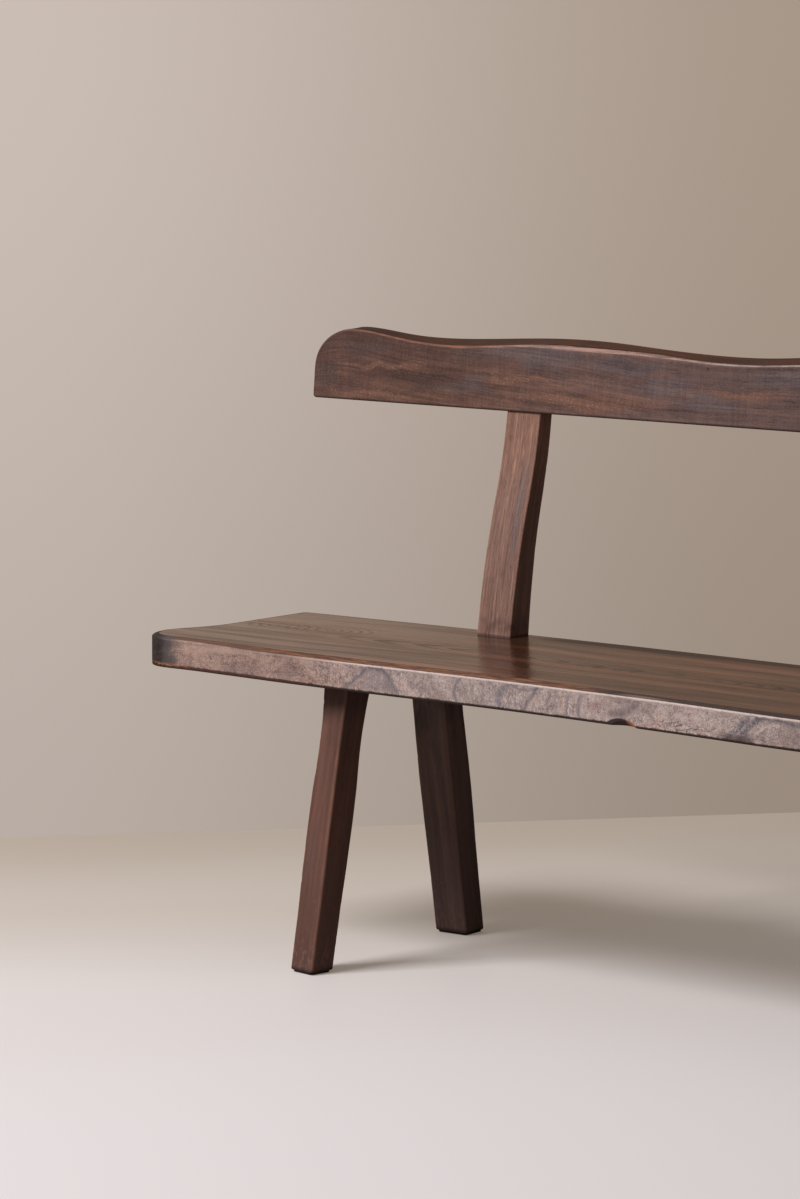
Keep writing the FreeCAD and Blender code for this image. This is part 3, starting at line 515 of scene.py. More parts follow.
def make_rail():
    """The back rail: a slanting wavy top with a worn front arris."""
    front, back = rail_outline(0.0), rail_outline(1.0)
    front_normal, back_normal = outward(front), outward(back)
    count = len(front)
    upper = front[:, 1] > RAIL_UPPER
    worn = 1.0 + 0.7 * np.clip(rough(np.column_stack([front, np.zeros(count)]), 60.0, 21) + 0.3, 0, 1)
    worn = worn + 1.5 * np.exp(-((front[:, 0] - WORN_MIDDLE) / WORN_HALF) ** 2)
    easing = RAIL_EASING * np.where(upper, worn, 1.0)

    # Each ring: how far in from the outline, how deep, its wear, and how much it undulates.
    rings = [(easing * inset * 0.8, easing * depth, wear, 0.0)
             for inset, depth, wear in RAIL_FRONT_RINGS]
    rings += [(0.0, share * RAIL_THICKNESS, 0.0, 0.5) for share in np.linspace(0.18, 0.84, 6)]
    rings += [(inset, RAIL_THICKNESS - depth, wear, 0.0) for inset, depth, wear in RAIL_BACK_RINGS]
    board = Board()
    numbers = []
    for inset, depth, wear, wave in rings:
        depth = np.broadcast_to(depth, count)
        part = (depth / RAIL_THICKNESS)[:, None]
        line = front * (1 - part) + back * part
        normal = front_normal * (1 - part) + back_normal * part
        dip = wave * hollow(np.column_stack([line, depth]), 70.0, 23) if wave else 0.0
        line = line - normal * np.reshape(inset + dip, (-1, 1))
        numbers.append(board.add(np.insert(line, 1, depth, axis=1), wear))
    board.tube(numbers, capped=False)
    board.cover(numbers[0], RAIL_SHAPE, 1, False, 110.0, 0.3, 25)
    board.cover(numbers[-1], RAIL_SHAPE, 1, True, 110.0, -0.3, 26)

    x, deep, up = board.points.T
    top_line = np.interp(x, front[upper, 0][::-1], front[upper, 1][::-1])
    follow = 0.55 * (top_line - RAIL_MEAN_TOP) * np.clip(up / RAIL_MEAN_TOP, 0, 1)
    return board.make("wavy_rail", rail_place, np.column_stack([x, deep, up - follow]),
                      height=up * MM, drop=(top_line - up) * MM, back=deep * MM)


# Legs

FOOT_LEVELS = LEG_LENGTH - np.array([4.2, 2.8, 1.7, 0.9, 0.3, 0.0])

# Dents and nicks, as worn_in() takes them.
LEG_DENTS = (45.0, 0.7)
LEG_NICKS = (9.0, 0.35, 1.2)
FELT_DENTS = (3.0, 0.35)

# A felt pad's rings: the height above the floor and how far in.
GLIDE_RINGS = [(GLIDE_HEIGHT + 0.4, 0.7), (GLIDE_HEIGHT - 0.3, 0.3), (2.1, 0.05), (1.2, 0.0),
               (0.4, 0.2), (0.05, 0.9), (0.03, 3.0)]


def leg_place(kind, side):
    """Carries points from the leg's frame at the seat's underside; its -Y is the leg's splay."""
    sizes = LEGS[kind]
    turn = side * sizes["turn"]
    if kind == "rear":
        turn = 180 - turn
    place = Matrix.Translation((side * sizes["x"], sizes["y"], SEAT_UNDERSIDE))
    whole = np.array(place @ Matrix.Rotation(math.radians(turn), 4, "Z"), float)
    return lambda points: points @ whole[:3, :3].T + whole[:3, 3]


def make_leg(kind, side, name, seed):
    """A hand-shaped splayed leg that swells in the middle, with worn arrises."""
    levels = np.concatenate([[-SUNK, 0.0], np.linspace(4, LEG_LENGTH - 6, 90), FOOT_LEVELS])
    widths, depths = [spline(np.column_stack([LEG_DROPS, LEGS[kind][key]]), 200)
                      for key in ("width", "depth")]
    board = Board()
    rings = []
    grains = []
    for level in levels:
        width = np.interp(level, *widths.T)
        depth = np.interp(level, *depths.T)
        rise = LEG_LENGTH - level
        bite = max(0.0, FOOT_ROUNDING - rise)
        shrink = FOOT_ROUNDING - math.sqrt(FOOT_ROUNDING ** 2 - bite ** 2)
        loop, wear = rounded_loop(width / 2 - shrink, depth / 2 - shrink, LEG_CORNER, 9, 7)
        points = np.column_stack([loop[:, 0], loop[:, 1] - LEG_SPLAY * level / LEG_LENGTH,
                                  np.full(len(loop), -level)])
        points = worn_in(points, loop, wear, seed, LEG_DENTS, LEG_NICKS)
        near_foot = math.exp(-rise / 3.0) if rise < 12 else 0.0
        rings.append(board.add(points, np.clip(wear + near_foot, 0, 1)))
        grains.append(np.insert(loop, 0, -level, axis=1))
    board.tube(rings)
    grain = np.concatenate(grains) + [seed * 731.0, seed * 57.0, seed * 91.0]
    place = leg_place(kind, side)
    return board.make(name, place, grain, height=place(board.points)[:, 2] * MM)


def make_glide(kind, side, name, seed):
    """A felt pad under a foot, with slightly bulging sides."""
    half_width, half_depth = [LEGS[kind][key][-1] / 2 - GLIDE_MARGIN for key in ("width", "depth")]
    board = Board()
    rings = []
    for level, shrink in GLIDE_RINGS:
        loop, wear = rounded_loop(half_width - shrink, half_depth - shrink, LEG_CORNER, 7, 5)
        points = np.column_stack([loop[:, 0], loop[:, 1] - LEG_SPLAY,
                                  np.full(len(loop), level - SEAT_UNDERSIDE)])
        rings.append(board.add(worn_in(points, loop, wear, seed, FELT_DENTS, None)))
    board.tube(rings)
    place = leg_place(kind, side)
    return board.make(name, place, place(board.points))


# Posts

# Dents and nicks, as worn_in() takes them.
POST_DENTS = (50.0, 0.45)
POST_NICKS = (8.0, 0.4, 0.9)

# The rings of a foot tenon's shown end: the level and how far in.
TENON_RINGS = [(SEAT_TOP - 2.0, 0.0), (SEAT_UNDERSIDE + 1.0, 0.0), (SEAT_UNDERSIDE + 0.25, 0.3),
               (SEAT_UNDERSIDE + 0.12, 1.0)]


def bowed(first, last, radius):
    """An arc of the radius that bows to the right of the way from first to last."""
    first, last = np.array(first, float), np.array(last, float)
    chord = last - first
    length = np.linalg.norm(chord)
    right = np.array([chord[1], -chord[0]]) / length
    centre = (first + last) / 2 - right * math.sqrt(radius ** 2 - (length / 2) ** 2)
    start, end = [math.atan2(*(point - centre)[::-1]) for point in (first, last)]
    turn = (end - start + math.pi) % (2 * math.pi) - math.pi
    return arc(centre, radius, math.degrees(start), math.degrees(start + turn), 60), centre


def post_line(foot, waist, head, radius):
    """One side of the S-curve, from the foot up to the head and a little past both."""
    lower, centre = bowed(waist, foot, radius)
    out = np.array(waist) - centre
    out /= np.linalg.norm(out)
    chord = np.array(head) - np.array(waist)
    upper, _ = bowed(waist, head, float(chord @ chord) / (2 * abs(float(chord @ out))))
    line = even(joined(lower[::-1], upper), 90)
    return np.concatenate([[line[0] - [0, SUNK]], line, [line[-1] + [0, SUNK]]])


def make_post(side, name, seed):
    """An S-curved post with softened arrises, and the end of its wedged foot tenon."""
    half = POST_FOOT / 2
    head_up = BACK_GAP - HEAD_REVEAL * math.sin(RAIL_LEAN)
    head_back = (HEAD_FRONT + POST_HEAD * math.cos(RAIL_LEAN),
                 head_up - POST_HEAD * math.sin(RAIL_LEAN))
    ahead = post_line((-half, 0), (POST_FRONT_WAIST[0] - half, POST_FRONT_WAIST[1]),
                      (HEAD_FRONT, head_up), POST_RADII[0])
    behind = post_line((half, 0), (POST_BACK_WAIST[0] + half, POST_BACK_WAIST[1]), head_back,
                       POST_RADII[1])
    board = Board()
    rings = []
    grains = []
    for front, back in zip(ahead, behind):
        depth = np.linalg.norm(back - front)
        loop, wear = rounded_loop(POST_WIDTH / 2, depth / 2, POST_CORNER, 10, 6)
        share = (loop[:, 1:] + depth / 2) / depth
        spot = front * (1 - share) + back * share
        points = np.column_stack([side * POST_X + loop[:, 0], POST_Y + spot[:, 0],
                                  SEAT_TOP + spot[:, 1]])
        points = worn_in(points, loop / [POST_WIDTH, depth], wear, seed, POST_DENTS, POST_NICKS)
        rings.append(board.add(points, wear))
        grains.append(np.insert(loop, 0, front[1], axis=1))
    board.tube(rings[::-1])

    loop, _ = rounded_loop(TENON_WIDTH / 2, TENON_DEPTH / 2, 0.8, 4, 4)
    tenon = []
    for level, shrink in TENON_RINGS:
        spot = loop * (1 - shrink / TENON_DEPTH) + [side * POST_X, POST_Y]
        tenon.append(board.add(np.insert(spot, 2, level, axis=1)))
        grains.append(np.insert(loop, 0, level - SEAT_TOP, axis=1))
    board.tube(tenon)
    grain = np.concatenate(grains) + [seed * 401.0, seed * 83.0, seed * 29.0]
    return board.make(name, as_it_is, grain, height=board.points[:, 2] * MM)


def settle(obj, slot, *nodes):
    """Makes a piece stand for its solids, and hides them. slot is not used."""
    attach(obj, "root")
    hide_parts(*nodes)
    return obj


seat, SEAT_SIDE_FACES = make_seat()
settle(seat, "seat_wood", "seat_plank")
rail = settle(make_rail(), "back_wood", "back_rail")
posts = [settle(make_post(-1, "left_post", 31), "back_wood", "left_back_post"),
         settle(make_post(1, "right_post", 37), "back_wood", "right_back_post")]
legs = []
glides = []
for seed, (kind, side, where) in enumerate([("front", -1, "front_left"), ("front", 1, "front_right"),
                                            ("rear", -1, "rear_left"), ("rear", 1, "rear_right")]):
    legs.append(settle(make_leg(kind, side, where + "_shaped_leg", 41 + 3 * seed), "leg_wood",
                       where + "_leg"))
    glides.append(settle(make_glide(kind, side, where + "_felt", 61 + seed), "felt",
                         where + "_glide"))


# Camera

CAMERA_PLACE = Vector((3.594, -5.0155, 1.352))
CAMERA_TURN = math.radians(39.341)
CAMERA_DIP = math.radians(7.409)
CAMERA_ROLL = math.radians(0.12)
CAMERA_LENS = 137.18
FILM_HEIGHT = 36.0

ahead = Vector((-math.sin(CAMERA_TURN) * math.cos(CAMERA_DIP),
                math.cos(CAMERA_TURN) * math.cos(CAMERA_DIP), -math.sin(CAMERA_DIP)))
level_right = Vector((math.cos(CAMERA_TURN), math.sin(CAMERA_TURN), 0))
level_up = level_right.cross(ahead)
right = level_right * math.cos(CAMERA_ROLL) + level_up * math.sin(CAMERA_ROLL)
up = level_up * math.cos(CAMERA_ROLL) - level_right * math.sin(CAMERA_ROLL)
camera_data = bpy.data.cameras.new("photo_camera")
camera_data.sensor_fit = "VERTICAL"
camera_data.sensor_height = FILM_HEIGHT
camera_data.sensor_width = FILM_HEIGHT
camera_data.lens = CAMERA_LENS
camera_data.clip_end = 60.0
camera = bpy.data.objects.new("photo_camera", camera_data)
turned = Matrix((right, up, -ahead)).transposed().to_4x4()
camera.matrix_world = Matrix.Translation(CAMERA_PLACE) @ turned
scene = bpy.context.scene
scene.collection.objects.link(camera)
scene.camera = camera
scene.view_settings.view_transform = "Standard"


# Room

KEY_PLACE = Vector((-2.0, -3.4, 4.5))
KEY_TARGET = Vector((-0.2, 0.0, 0.4))

key = bpy.data.lights.new("key_lamp", "AREA")
key.shape = "RECTANGLE"
key.size = 2.0
key.size_y = 2.0
key.energy = 300.0
key.color = (1.0, 0.99, 0.982)
lamp = bpy.data.objects.new("key_lamp", key)
lamp.location = KEY_PLACE
lamp.rotation_mode = "QUATERNION"
lamp.rotation_quaternion = (KEY_TARGET - KEY_PLACE).to_track_quat("-Z", "Y")
scene.collection.objects.link(lamp)


# Materials

OPERATORS = {"add": "ADD", "sub": "SUBTRACT", "mul": "MULTIPLY", "truediv": "DIVIDE"}


class Field:
    """What varies over a surface, a number, a place or a colour: a socket of a node tree."""

    def __init__(self, nodes, socket):
        self.nodes = nodes
        self.socket = socket

    def math(self, operation, *values):
        """What a math node makes of the values."""
        return self.nodes.add("Math", dict(enumerate(values)), operation=operation)

    def size(self):
        return self.math("ABSOLUTE", self)

    def root(self):
        return self.math("SQRT", self)

    def part(self):
        """What is left over a whole number."""
        return self.math("FRACT", self)

    def least(self, other):
        return self.math("MINIMUM", self, other)

    def most(self, other):
        return self.math("MAXIMUM", self, other)

    def rise(self, low, high):
        """A soft step: 0 below low and 1 above high."""
        return self.nodes.add("MapRange", {"Value": self, "From Min": low, "From Max": high},
                              "Result", interpolation_type="SMOOTHSTEP")

    def fall(self, low, high):
        """A soft step: 1 below low and 0 above high."""
        return 1.0 - self.rise(low, high)

    def near(self, width):
        """1 where the number is zero, and 0 from the width on, either way."""
        return self.size().fall(0.0, width)

    def lay(self, share, colour):
        """Lays another colour over this one, wholly where share is 1."""
        self.socket = self.nodes.mix(share, self, colour).socket

    def dim(self, amount):
        """Makes this colour lighter or darker by a number."""
        self.socket = self.nodes.add("VectorMath", {0: self, "Scale": amount},
                                     operation="SCALE").socket


# The four sums, with the field on either side of the sign.
for word, operation in OPERATORS.items():
    setattr(Field, "__%s__" % word, lambda a, b, operation=operation: a.math(operation, a, b))
    setattr(Field, "__r%s__" % word, lambda a, b, operation=operation: a.math(operation, b, a))


def paint(red, green, blue):
    """A colour as a screen shows it, 0 to 255, turned into light."""
    values = [value / 255 for value in (red, green, blue)]
    return [v / 12.92 if v <= 0.04045 else ((v + 0.055) / 1.055) ** 2.4 for v in values] + [1.0]


class Nodes:
    """A node tree, with short ways to add its nodes. seed is added to each noise's own."""

    def __init__(self, tree, seed=0.0):
        self.tree = tree
        self.seed = seed

    def give(self, value, slot):
        """Links a field to a slot or sets a value on it. A tuple is a colour as a screen shows it."""
        if isinstance(value, Field):
            self.tree.links.new(value.socket, slot)
        else:
            slot.default_value = paint(*value) if isinstance(value, tuple) else value

    def add(self, kind, inputs=None, output=0, **settings):
        """Adds a node with its settings and inputs, and returns one of its outputs."""
        node = self.tree.nodes.new("ShaderNode" + kind)
        for key, value in settings.items():
            setattr(node, key, value)
        for key, value in (inputs or {}).items():
            self.give(value, node.inputs[key])
        return Field(self, node.outputs[output])

    def attribute(self, name, output="Fac"):
        """What the mesh carries under the name."""
        return self.add("Attribute", output=output, attribute_name=name)

    def grain(self):
        """The place in the board, in metres: along, across and through it."""
        return self.attribute("grain", "Vector")

    def place(self):
        """The place on the object, in metres."""
        return self.add("TexCoord", output="Object")

    def ray(self, kind):
        """1 for one kind of ray, and 0 for the others."""
        return self.add("LightPath", output="Is %s Ray" % kind)

    def parts(self, vector):
        """The three numbers of a place."""
        first = self.add("SeparateXYZ", {0: vector})
        return [Field(self, socket) for socket in first.socket.node.outputs]

    def whole(self, x, y, z):
        """A place from three numbers."""
        return self.add("CombineXYZ", {0: x, 1: y, 2: z})

    def noise(self, vector, scale, detail=2, seed=0, roughness=0.5, twist=0):
        """Soft noise about 0.5.

        scale is bumps per metre along, across and through, or along and otherwise, or all ways.
        """
        scale = scale if isinstance(scale, tuple) else (scale, scale)
        seed += self.seed
        moved = self.add("Mapping", {"Vector": vector, "Scale": [scale[0], scale[1], scale[-1]],
                                     "Location": [seed * 3.7, seed * 7.1, seed * 1.9]})
        return self.add("TexNoise", {"Vector": moved, "Scale": 1.0, "Detail": detail,
                                     "Roughness": roughness, "Distortion": twist}, "Fac")

    def mix(self, share, first, second):
        """The first colour where share is 0, and the second where it is 1."""
        return self.add("Mix", {0: share, 6: first, 7: second}, 2, data_type="RGBA")

    def ramp(self, value, stops):
        """Colours at places along a number, blended softly."""
        blended = self.add("ValToRGB", {"Fac": value}, "Color")
        band = blended.socket.node.color_ramp
        band.interpolation = "EASE"
        while len(band.elements) < len(stops):
            band.elements.new(0.5)
        for element, (at, colour) in zip(band.elements, stops.items()):
            element.position = at
            element.color = paint(*colour)
        return blended

    def bump(self, height, depth, strength=1.0, **under):
        """A surface's fine relief: height from 0 to 1 stands for depth in metres."""
        return self.add("Bump", {"Strength": strength, "Distance": depth, "Height": height, **under})


class Finish(Nodes):
    """A material under construction."""

    SLOTS = {"colour": "Base Color", "rough": "Roughness", "normal": "Normal",
             "gloss": "Specular IOR Level", "sheen": "Sheen Weight"}

    def __init__(self, name, seed=0.0):
        self.material = bpy.data.materials.new(name)
        self.material.use_nodes = True
        super().__init__(self.material.node_tree, seed)
        self.shader = self.tree.nodes["Principled BSDF"]

    def set(self, **values):
        """Sets or links the shader's own sockets."""
        for key, value in values.items():
            self.give(value, self.shader.inputs[self.SLOTS[key]])
        return self.material


class Figure:
    """The figure of one board: growth rings, fibres, pores and slow changes of tone."""

    def __init__(self, f, grain, pith, spacing, wander=0.02, ripple=0.0025, seed=0):
        _, across, through = f.parts(grain)
        drift = f.noise(grain, (1.3, 0), 1, seed + 1) - 0.5
        lift = f.noise(grain, (1.9, 0), 1, seed + 2) - 0.5
        wave = f.noise(grain, (4, 18), 2, seed + 3) - 0.5
        across = across - pith[0] + drift * (2 * wander)
        through = through - pith[1] + lift * (2 * wander)
        radius = (across * across + through * through).root() + wave * (4 * ripple)
        ring = (radius / spacing).part()
        self.late = ring.rise(0.25, 0.88) * ring.fall(0.93, 1)
        self.tone = f.noise(grain, (1.6, 14), 3, seed + 4)
        self.band = f.noise(grain, (2.6, 46), 2, seed + 5)
        self.fibre = f.noise(grain, (11, 380), 3, seed + 6)
        self.hair = f.noise(grain, (26, 950), 2, seed + 7)
        self.pore = f.noise(grain, (55, 1150), 1, seed + 8).rise(0.60, 0.72)


UNDERSIDE = SEAT_UNDERSIDE * MM

# How much wider a stain line is laid than its core.
SPREAD = 1.35


def pool(a, b, middle, half, warp=0):
    """A soft-edged patch, 1 in its middle. middle and half are in millimetres."""
    across = (a - middle[0] * MM + warp) / (half[0] * MM)
    upward = (b - middle[1] * MM + warp * 0.5) / (half[1] * MM)
    return (across * across + upward * upward).root().fall(0.25, 1)


def pools(a, b, places, warp=0):
    """Several patches as one, from their middles and halves."""
    return union(pool(a, b, middle, half, warp) for middle, half in places)


def union(fields):
    """The most of several fields, at each place."""
    return functools.reduce(Field.most, fields)


def leg_finish(name, seed, tones, murk):
    """Dark stained wood, hand shaped, with worn arrises.

    tones are four browns from dark to light, a grey and the colour of the worn arrises. murk is the
    strength of the near-black blotches below the seat.
    """
    f = Finish(name, seed)
    grain = f.grain()
    figure = Figure(f, grain, (0.045, 0.03), 0.0085)
    wear, height = f.attribute("wear"), f.attribute("height")
    flow = f.noise(grain, (3, 42), 3, 20, twist=0.25)
    streaks = f.noise(grain, (5, 130), 3, 25)
    mood = flow * 0.45 + streaks * 0.25 + figure.tone * 0.3
    colour = f.ramp(mood, {0.38: tones[0], 0.47: tones[1], 0.54: tones[2], 0.64: tones[3]})
    colour.lay(figure.late * 0.10, tones[0])
    blotch = f.noise(grain, (9, 26), 3, 21)
    colour.lay(blotch.rise(0.5, 0.66) * 0.45, tones[4])
    colour.dim(0.80 + figure.fibre * 0.24 + figure.hair * 0.16)
    colour.lay(figure.pore * 0.3, (34, 22, 19))
    rub = f.noise(grain, (30, 140), 3, 22)
    worn = (wear * 1.15 + rub * 1.1 - 1.05).rise(0.08, 0.6)
    colour.lay(worn * 0.55, tones[5])
    scuff = f.noise(grain, (90, 240), 2, 23)
    low = height.fall(0.015, 0.075) * scuff.rise(0.50, 0.66)
    colour.lay(low * 0.5, tones[5])
    fleck = f.noise(grain, (180, 420), 1, 26).rise(0.70, 0.76)
    colour.lay(fleck * height.fall(0.05, 0.25) * 0.6, (150, 116, 100))
    colour.lay(height.fall(0.05, 0.20) * 0.3, f.mix(0.5, tones[0], tones[4]))
    # Painted shadow of the seat: the leg darkens towards its top, under the seat's overhang.
    colour.dim(1 - height.rise(0.34, 0.388) * 0.48)
    stain = f.noise(grain, (13, 30), 3, 27).rise(0.45, 0.60)
    colour.lay(stain * height.rise(0.24, 0.33) * murk, (30, 26, 29))
    dirt = height.fall(0.004, 0.011)
    colour.lay(dirt * 0.75, (34, 25, 23))
    fine = figure.fibre * 0.5 + figure.hair * 0.25 + streaks * 0.4 - figure.pore * 0.6
    dents = f.noise(grain, (16, 48), 2, 24)
    relief = f.bump(dents, 0.0016, 0.5, Normal=f.bump(fine, 0.0004, 0.5))
    rough = 0.50 + figure.fibre * 0.12 + blotch * 0.08 - worn * 0.06
    return f.set(colour=colour, rough=rough, normal=relief, gloss=0.22)


FRONT_LEG_TONES = [(82, 55, 48), (98, 67, 58), (108, 75, 66), (120, 85, 74),
                   (92, 72, 69), (148, 106, 88)]
# The rear legs' tones are darker than the front legs' as painted shade: the rear legs stand in the
# seat's shadow.
REAR_LEG_TONES = [(62, 46, 42), (78, 58, 53), (90, 67, 61), (106, 81, 74),
                  (74, 62, 62), (116, 88, 79)]
FRONT_MURK = 0.15
REAR_MURK = 0.5


def post_finish(name, seed):
    """Reddish brown stained wood with crisp wavering lines, a slate streak and a scuffed foot."""
    f = Finish(name, seed)
    grain = f.grain()
    figure = Figure(f, grain, (0.14, 0.05), 0.0048, 0.006, 0.0012)
    wear, height = f.attribute("wear"), f.attribute("height")
    inner = POST_X * MM - f.parts(f.place())[0].size()
    flow = f.noise(grain, (2.4, 34), 3, 35)
    mood = flow * 0.5 + figure.tone * 0.3 + figure.band * 0.2
    colour = f.ramp(mood, {0.36: (116, 84, 74), 0.46: (130, 97, 86), 0.55: (140, 106, 93),
                           0.66: (150, 114, 99)})
    warm = height.rise(0.60, 0.76)
    colour.lay(warm * 0.5, f.ramp(mood, {0.4: (134, 94, 78), 0.6: (160, 118, 98)}))
    weave = (f.noise(grain, (16, 0), 2, 31) - 0.5) * 0.007
    slate = (inner - 0.017 + weave).near(0.011) * height.rise(0.545, 0.60) * height.fall(0.66, 0.735)
    grainy = f.noise(grain, (30, 260), 2, 32)
    colour.lay(slate * (0.15 + grainy * 0.9), (108, 96, 95))
    lines = f.noise(grain, (9, 270), 3, 34, twist=0.3)
    threads = f.noise(grain, (30, 620), 2, 36)
    crisp = f.noise(grain, (14, 400), 2, 38).rise(0.36, 0.64)
    wisps = f.noise(grain, (7, 190), 3, 39, 0.55, 0.6).rise(0.50, 0.60)
    colour.lay(wisps * 0.26, (92, 66, 60))
    colour.dim(0.38 + lines * 0.50 + threads * 0.50 + crisp * 0.24)
    colour.lay((lines + threads).rise(1.14, 1.3) * 0.35, (182, 146, 128))
    colour.lay(figure.pore * 0.45, (58, 40, 35))
    rub = f.noise(grain, (45, 200), 3, 33)
    worn = (wear * 1.25 + rub * 0.9 - 1).rise(0.05, 0.5)
    colour.lay(worn * 0.5, (176, 132, 112))
    smudge = f.noise(grain, (34, 60), 3, 37).rise(0.47, 0.6)
    colour.lay((height - 0.468).near(0.017) * smudge * 0.55, (74, 50, 44))
    colour.lay((height - SEAT_TOP * MM).fall(0.0015, 0.004) * 0.6, (48, 33, 28))
    relief = f.bump(lines * 0.7 + threads * 0.4 - figure.pore * 0.7, 0.0006, 0.65)
    rough = 0.52 + figure.fibre * 0.12 - worn * 0.08
    return f.set(colour=colour, rough=rough, normal=relief, gloss=0.28)


# Patches on the rail's face, each by its middle and its half sizes, in millimetres.
SLATE_POOLS = [((-812, 32), (40, 26)), ((-735, 84), (70, 12)), ((-430, 82), (180, 26)),
               ((-250, 78), (130, 22)), ((-190, 47), (70, 22)), ((-110, 28), (90, 24)),
               ((20, 70), (110, 26)), ((-560, 34), (90, 12))]
WARM_POOLS = [((-330, 24), (190, 20)), ((-440, 48), (120, 9)), ((-40, 48), (90, 12)),
              ((-700, 12), (150, 14))]
GLOWING_POOLS = [((-330, 22), (180, 18)), ((-430, 48), (150, 6)), ((-40, 48), (80, 9)),
                 ((-700, 57), (120, 6)), ((-710, 9), (130, 10))]


def rail_finish():
    """Stained wood: slanting warm and slate bands, saw marks, and a worn front arris."""
    f = Finish("rail_wood", 5)
    grain = f.grain()
    place = f.place()
    x = f.parts(place)[0]
    wear, back, drop, height = [f.attribute(key) for key in ("wear", "back", "drop", "height")]
    along, across, up = f.parts(grain)
    lean = up + (along + 0.20).least(0) * 0.075
    board = f.whole(along, across, lean)
    figure = Figure(f, board, (-0.03, 0.02), 0.0085, 0.016, 0.002)
    bands = f.noise(board, (1.5, 8, 24), 3, 1)
    ribbons = f.noise(board, (3.2, 30, 105), 3, 2)
    thin = f.noise(board, (8, 160, 330), 3, 8)
    saw = f.noise(place, (300, 60, 14), 2, 9)
    weft = f.noise(place, 620, 2, 10)
    clouds = f.noise(place, (16, 40, 46), 4, 13, 0.6)
    mood = bands * 0.26 + ribbons * 0.26 + thin * 0.18 + clouds * 0.30
    brown = f.ramp(mood, {0.40: (74, 51, 45), 0.47: (90, 63, 55), 0.53: (102, 72, 62),
                          0.61: (120, 86, 71)})
    slate = f.ramp(mood, {0.40: (74, 63, 66), 0.47: (89, 75, 77), 0.54: (99, 83, 82),
                          0.63: (115, 95, 90)})
    slate.lay(x.fall(-0.62, -0.48) * 0.9, (72, 55, 53))
    brown.dim(0.75 + x.rise(-0.62, -0.42) * 0.35)
    warp = (f.noise(place, (14, 14, 22), 3, 11) - 0.5) * 0.09
    shift = (f.noise(place, 9, 2, 12) - 0.5) * 0.03
    level = height + shift
    grey = (x.rise(-0.66, -0.10) * 0.5).most(pools(x, level, SLATE_POOLS, warp))
    for middle, half in WARM_POOLS:
        grey = grey * (1 - 0.85 * pool(x, level, middle, half, warp))
    grey = grey * (0.20 + 1.6 * ribbons)
    colour = f.mix(grey.least(1) * (0.82 + x.rise(-0.52, -0.40) * 0.13), brown, slate)
    glow = pools(x, level, GLOWING_POOLS, warp)
    colour.lay(glow * (0.25 + ribbons * 0.75) * 0.75, (128, 90, 75))
    colour.dim(0.30 + thin * 0.34 + saw * 0.54 + weft * 0.52)
    speck = f.noise(place, (360, 360, 520), 1, 4).rise(0.58, 0.70)
    colour.lay(speck * (0.12 + glow * 0.24), (176, 140, 118))
    colour.lay(figure.pore * 0.35, (46, 32, 30))
    for middle, half in [((-115, 79), (2.6, 3.4)), ((-82, 67), (1.6, 1.6))]:
        colour.lay(pool(x, height, middle, half) * 0.8, (38, 28, 28))
    # Painted shade: a dark line along the rail's lower edge.
    colour.lay(height.fall(0.0012, 0.0040) * 0.75, (52, 36, 31))
    rub = f.noise(place, (34, 34, 150), 3, 6)

    # The slanting top, darker and unrubbed.
    on_top = back.rise(0.0022, 0.0048) * drop.fall(0.012, 0.020) * height.rise(0.05, 0.07)
    upper = f.ramp(figure.fibre * 0.5 + bands * 0.5, {0.38: (44, 25, 17), 0.62: (78, 44, 29)})
    upper.lay(x.fall(-0.76, -0.60) * 0.65, (26, 18, 15))
    colour.lay(on_top * 0.95, upper)

    # The worn front arris.
    worn = (wear * 1.25 + rub * 0.9 - 1).rise(0.06, 0.5) * back.fall(0.0045, 0.0075)
    worn = worn * drop.fall(0.006, 0.012) * x.rise(-0.80, -0.735)
    pale = f.mix(x.rise(-0.56, -0.40), (164, 104, 74), (166, 130, 118))
    pale.lay(x.rise(-0.22, -0.05), (164, 146, 141))
    patchy = f.noise(place, (22, 60, 300), 3, 14, 0.6).rise(0.38, 0.58)
    worn = worn * (0.35 + patchy * 0.65)
    colour.lay(worn * (0.50 + x.rise(-0.6, -0.35) * 0.40), pale)
    relief = f.bump(thin * 0.5 + weft * 0.4 + saw * 0.3 - figure.pore * 0.6, 0.0005, 0.6)
    rough = 0.52 + figure.fibre * 0.12 + weft * 0.06
    return f.set(colour=colour, rough=rough, normal=relief, gloss=0.24)


# Ovals on the seat's top: the middle's X and Y, the half sizes in metres, and how many rings.
OVALS = [(-0.745, 0.010, 0.050, 0.030, 3), (-0.665, 0.016, 0.062, 0.036, 4),
         (-0.30, -0.02, 0.26, 0.035, 4), (0.02, -0.035, 0.17, 0.030, 5),
         (0.50, 0.03, 0.24, 0.05, 4)]


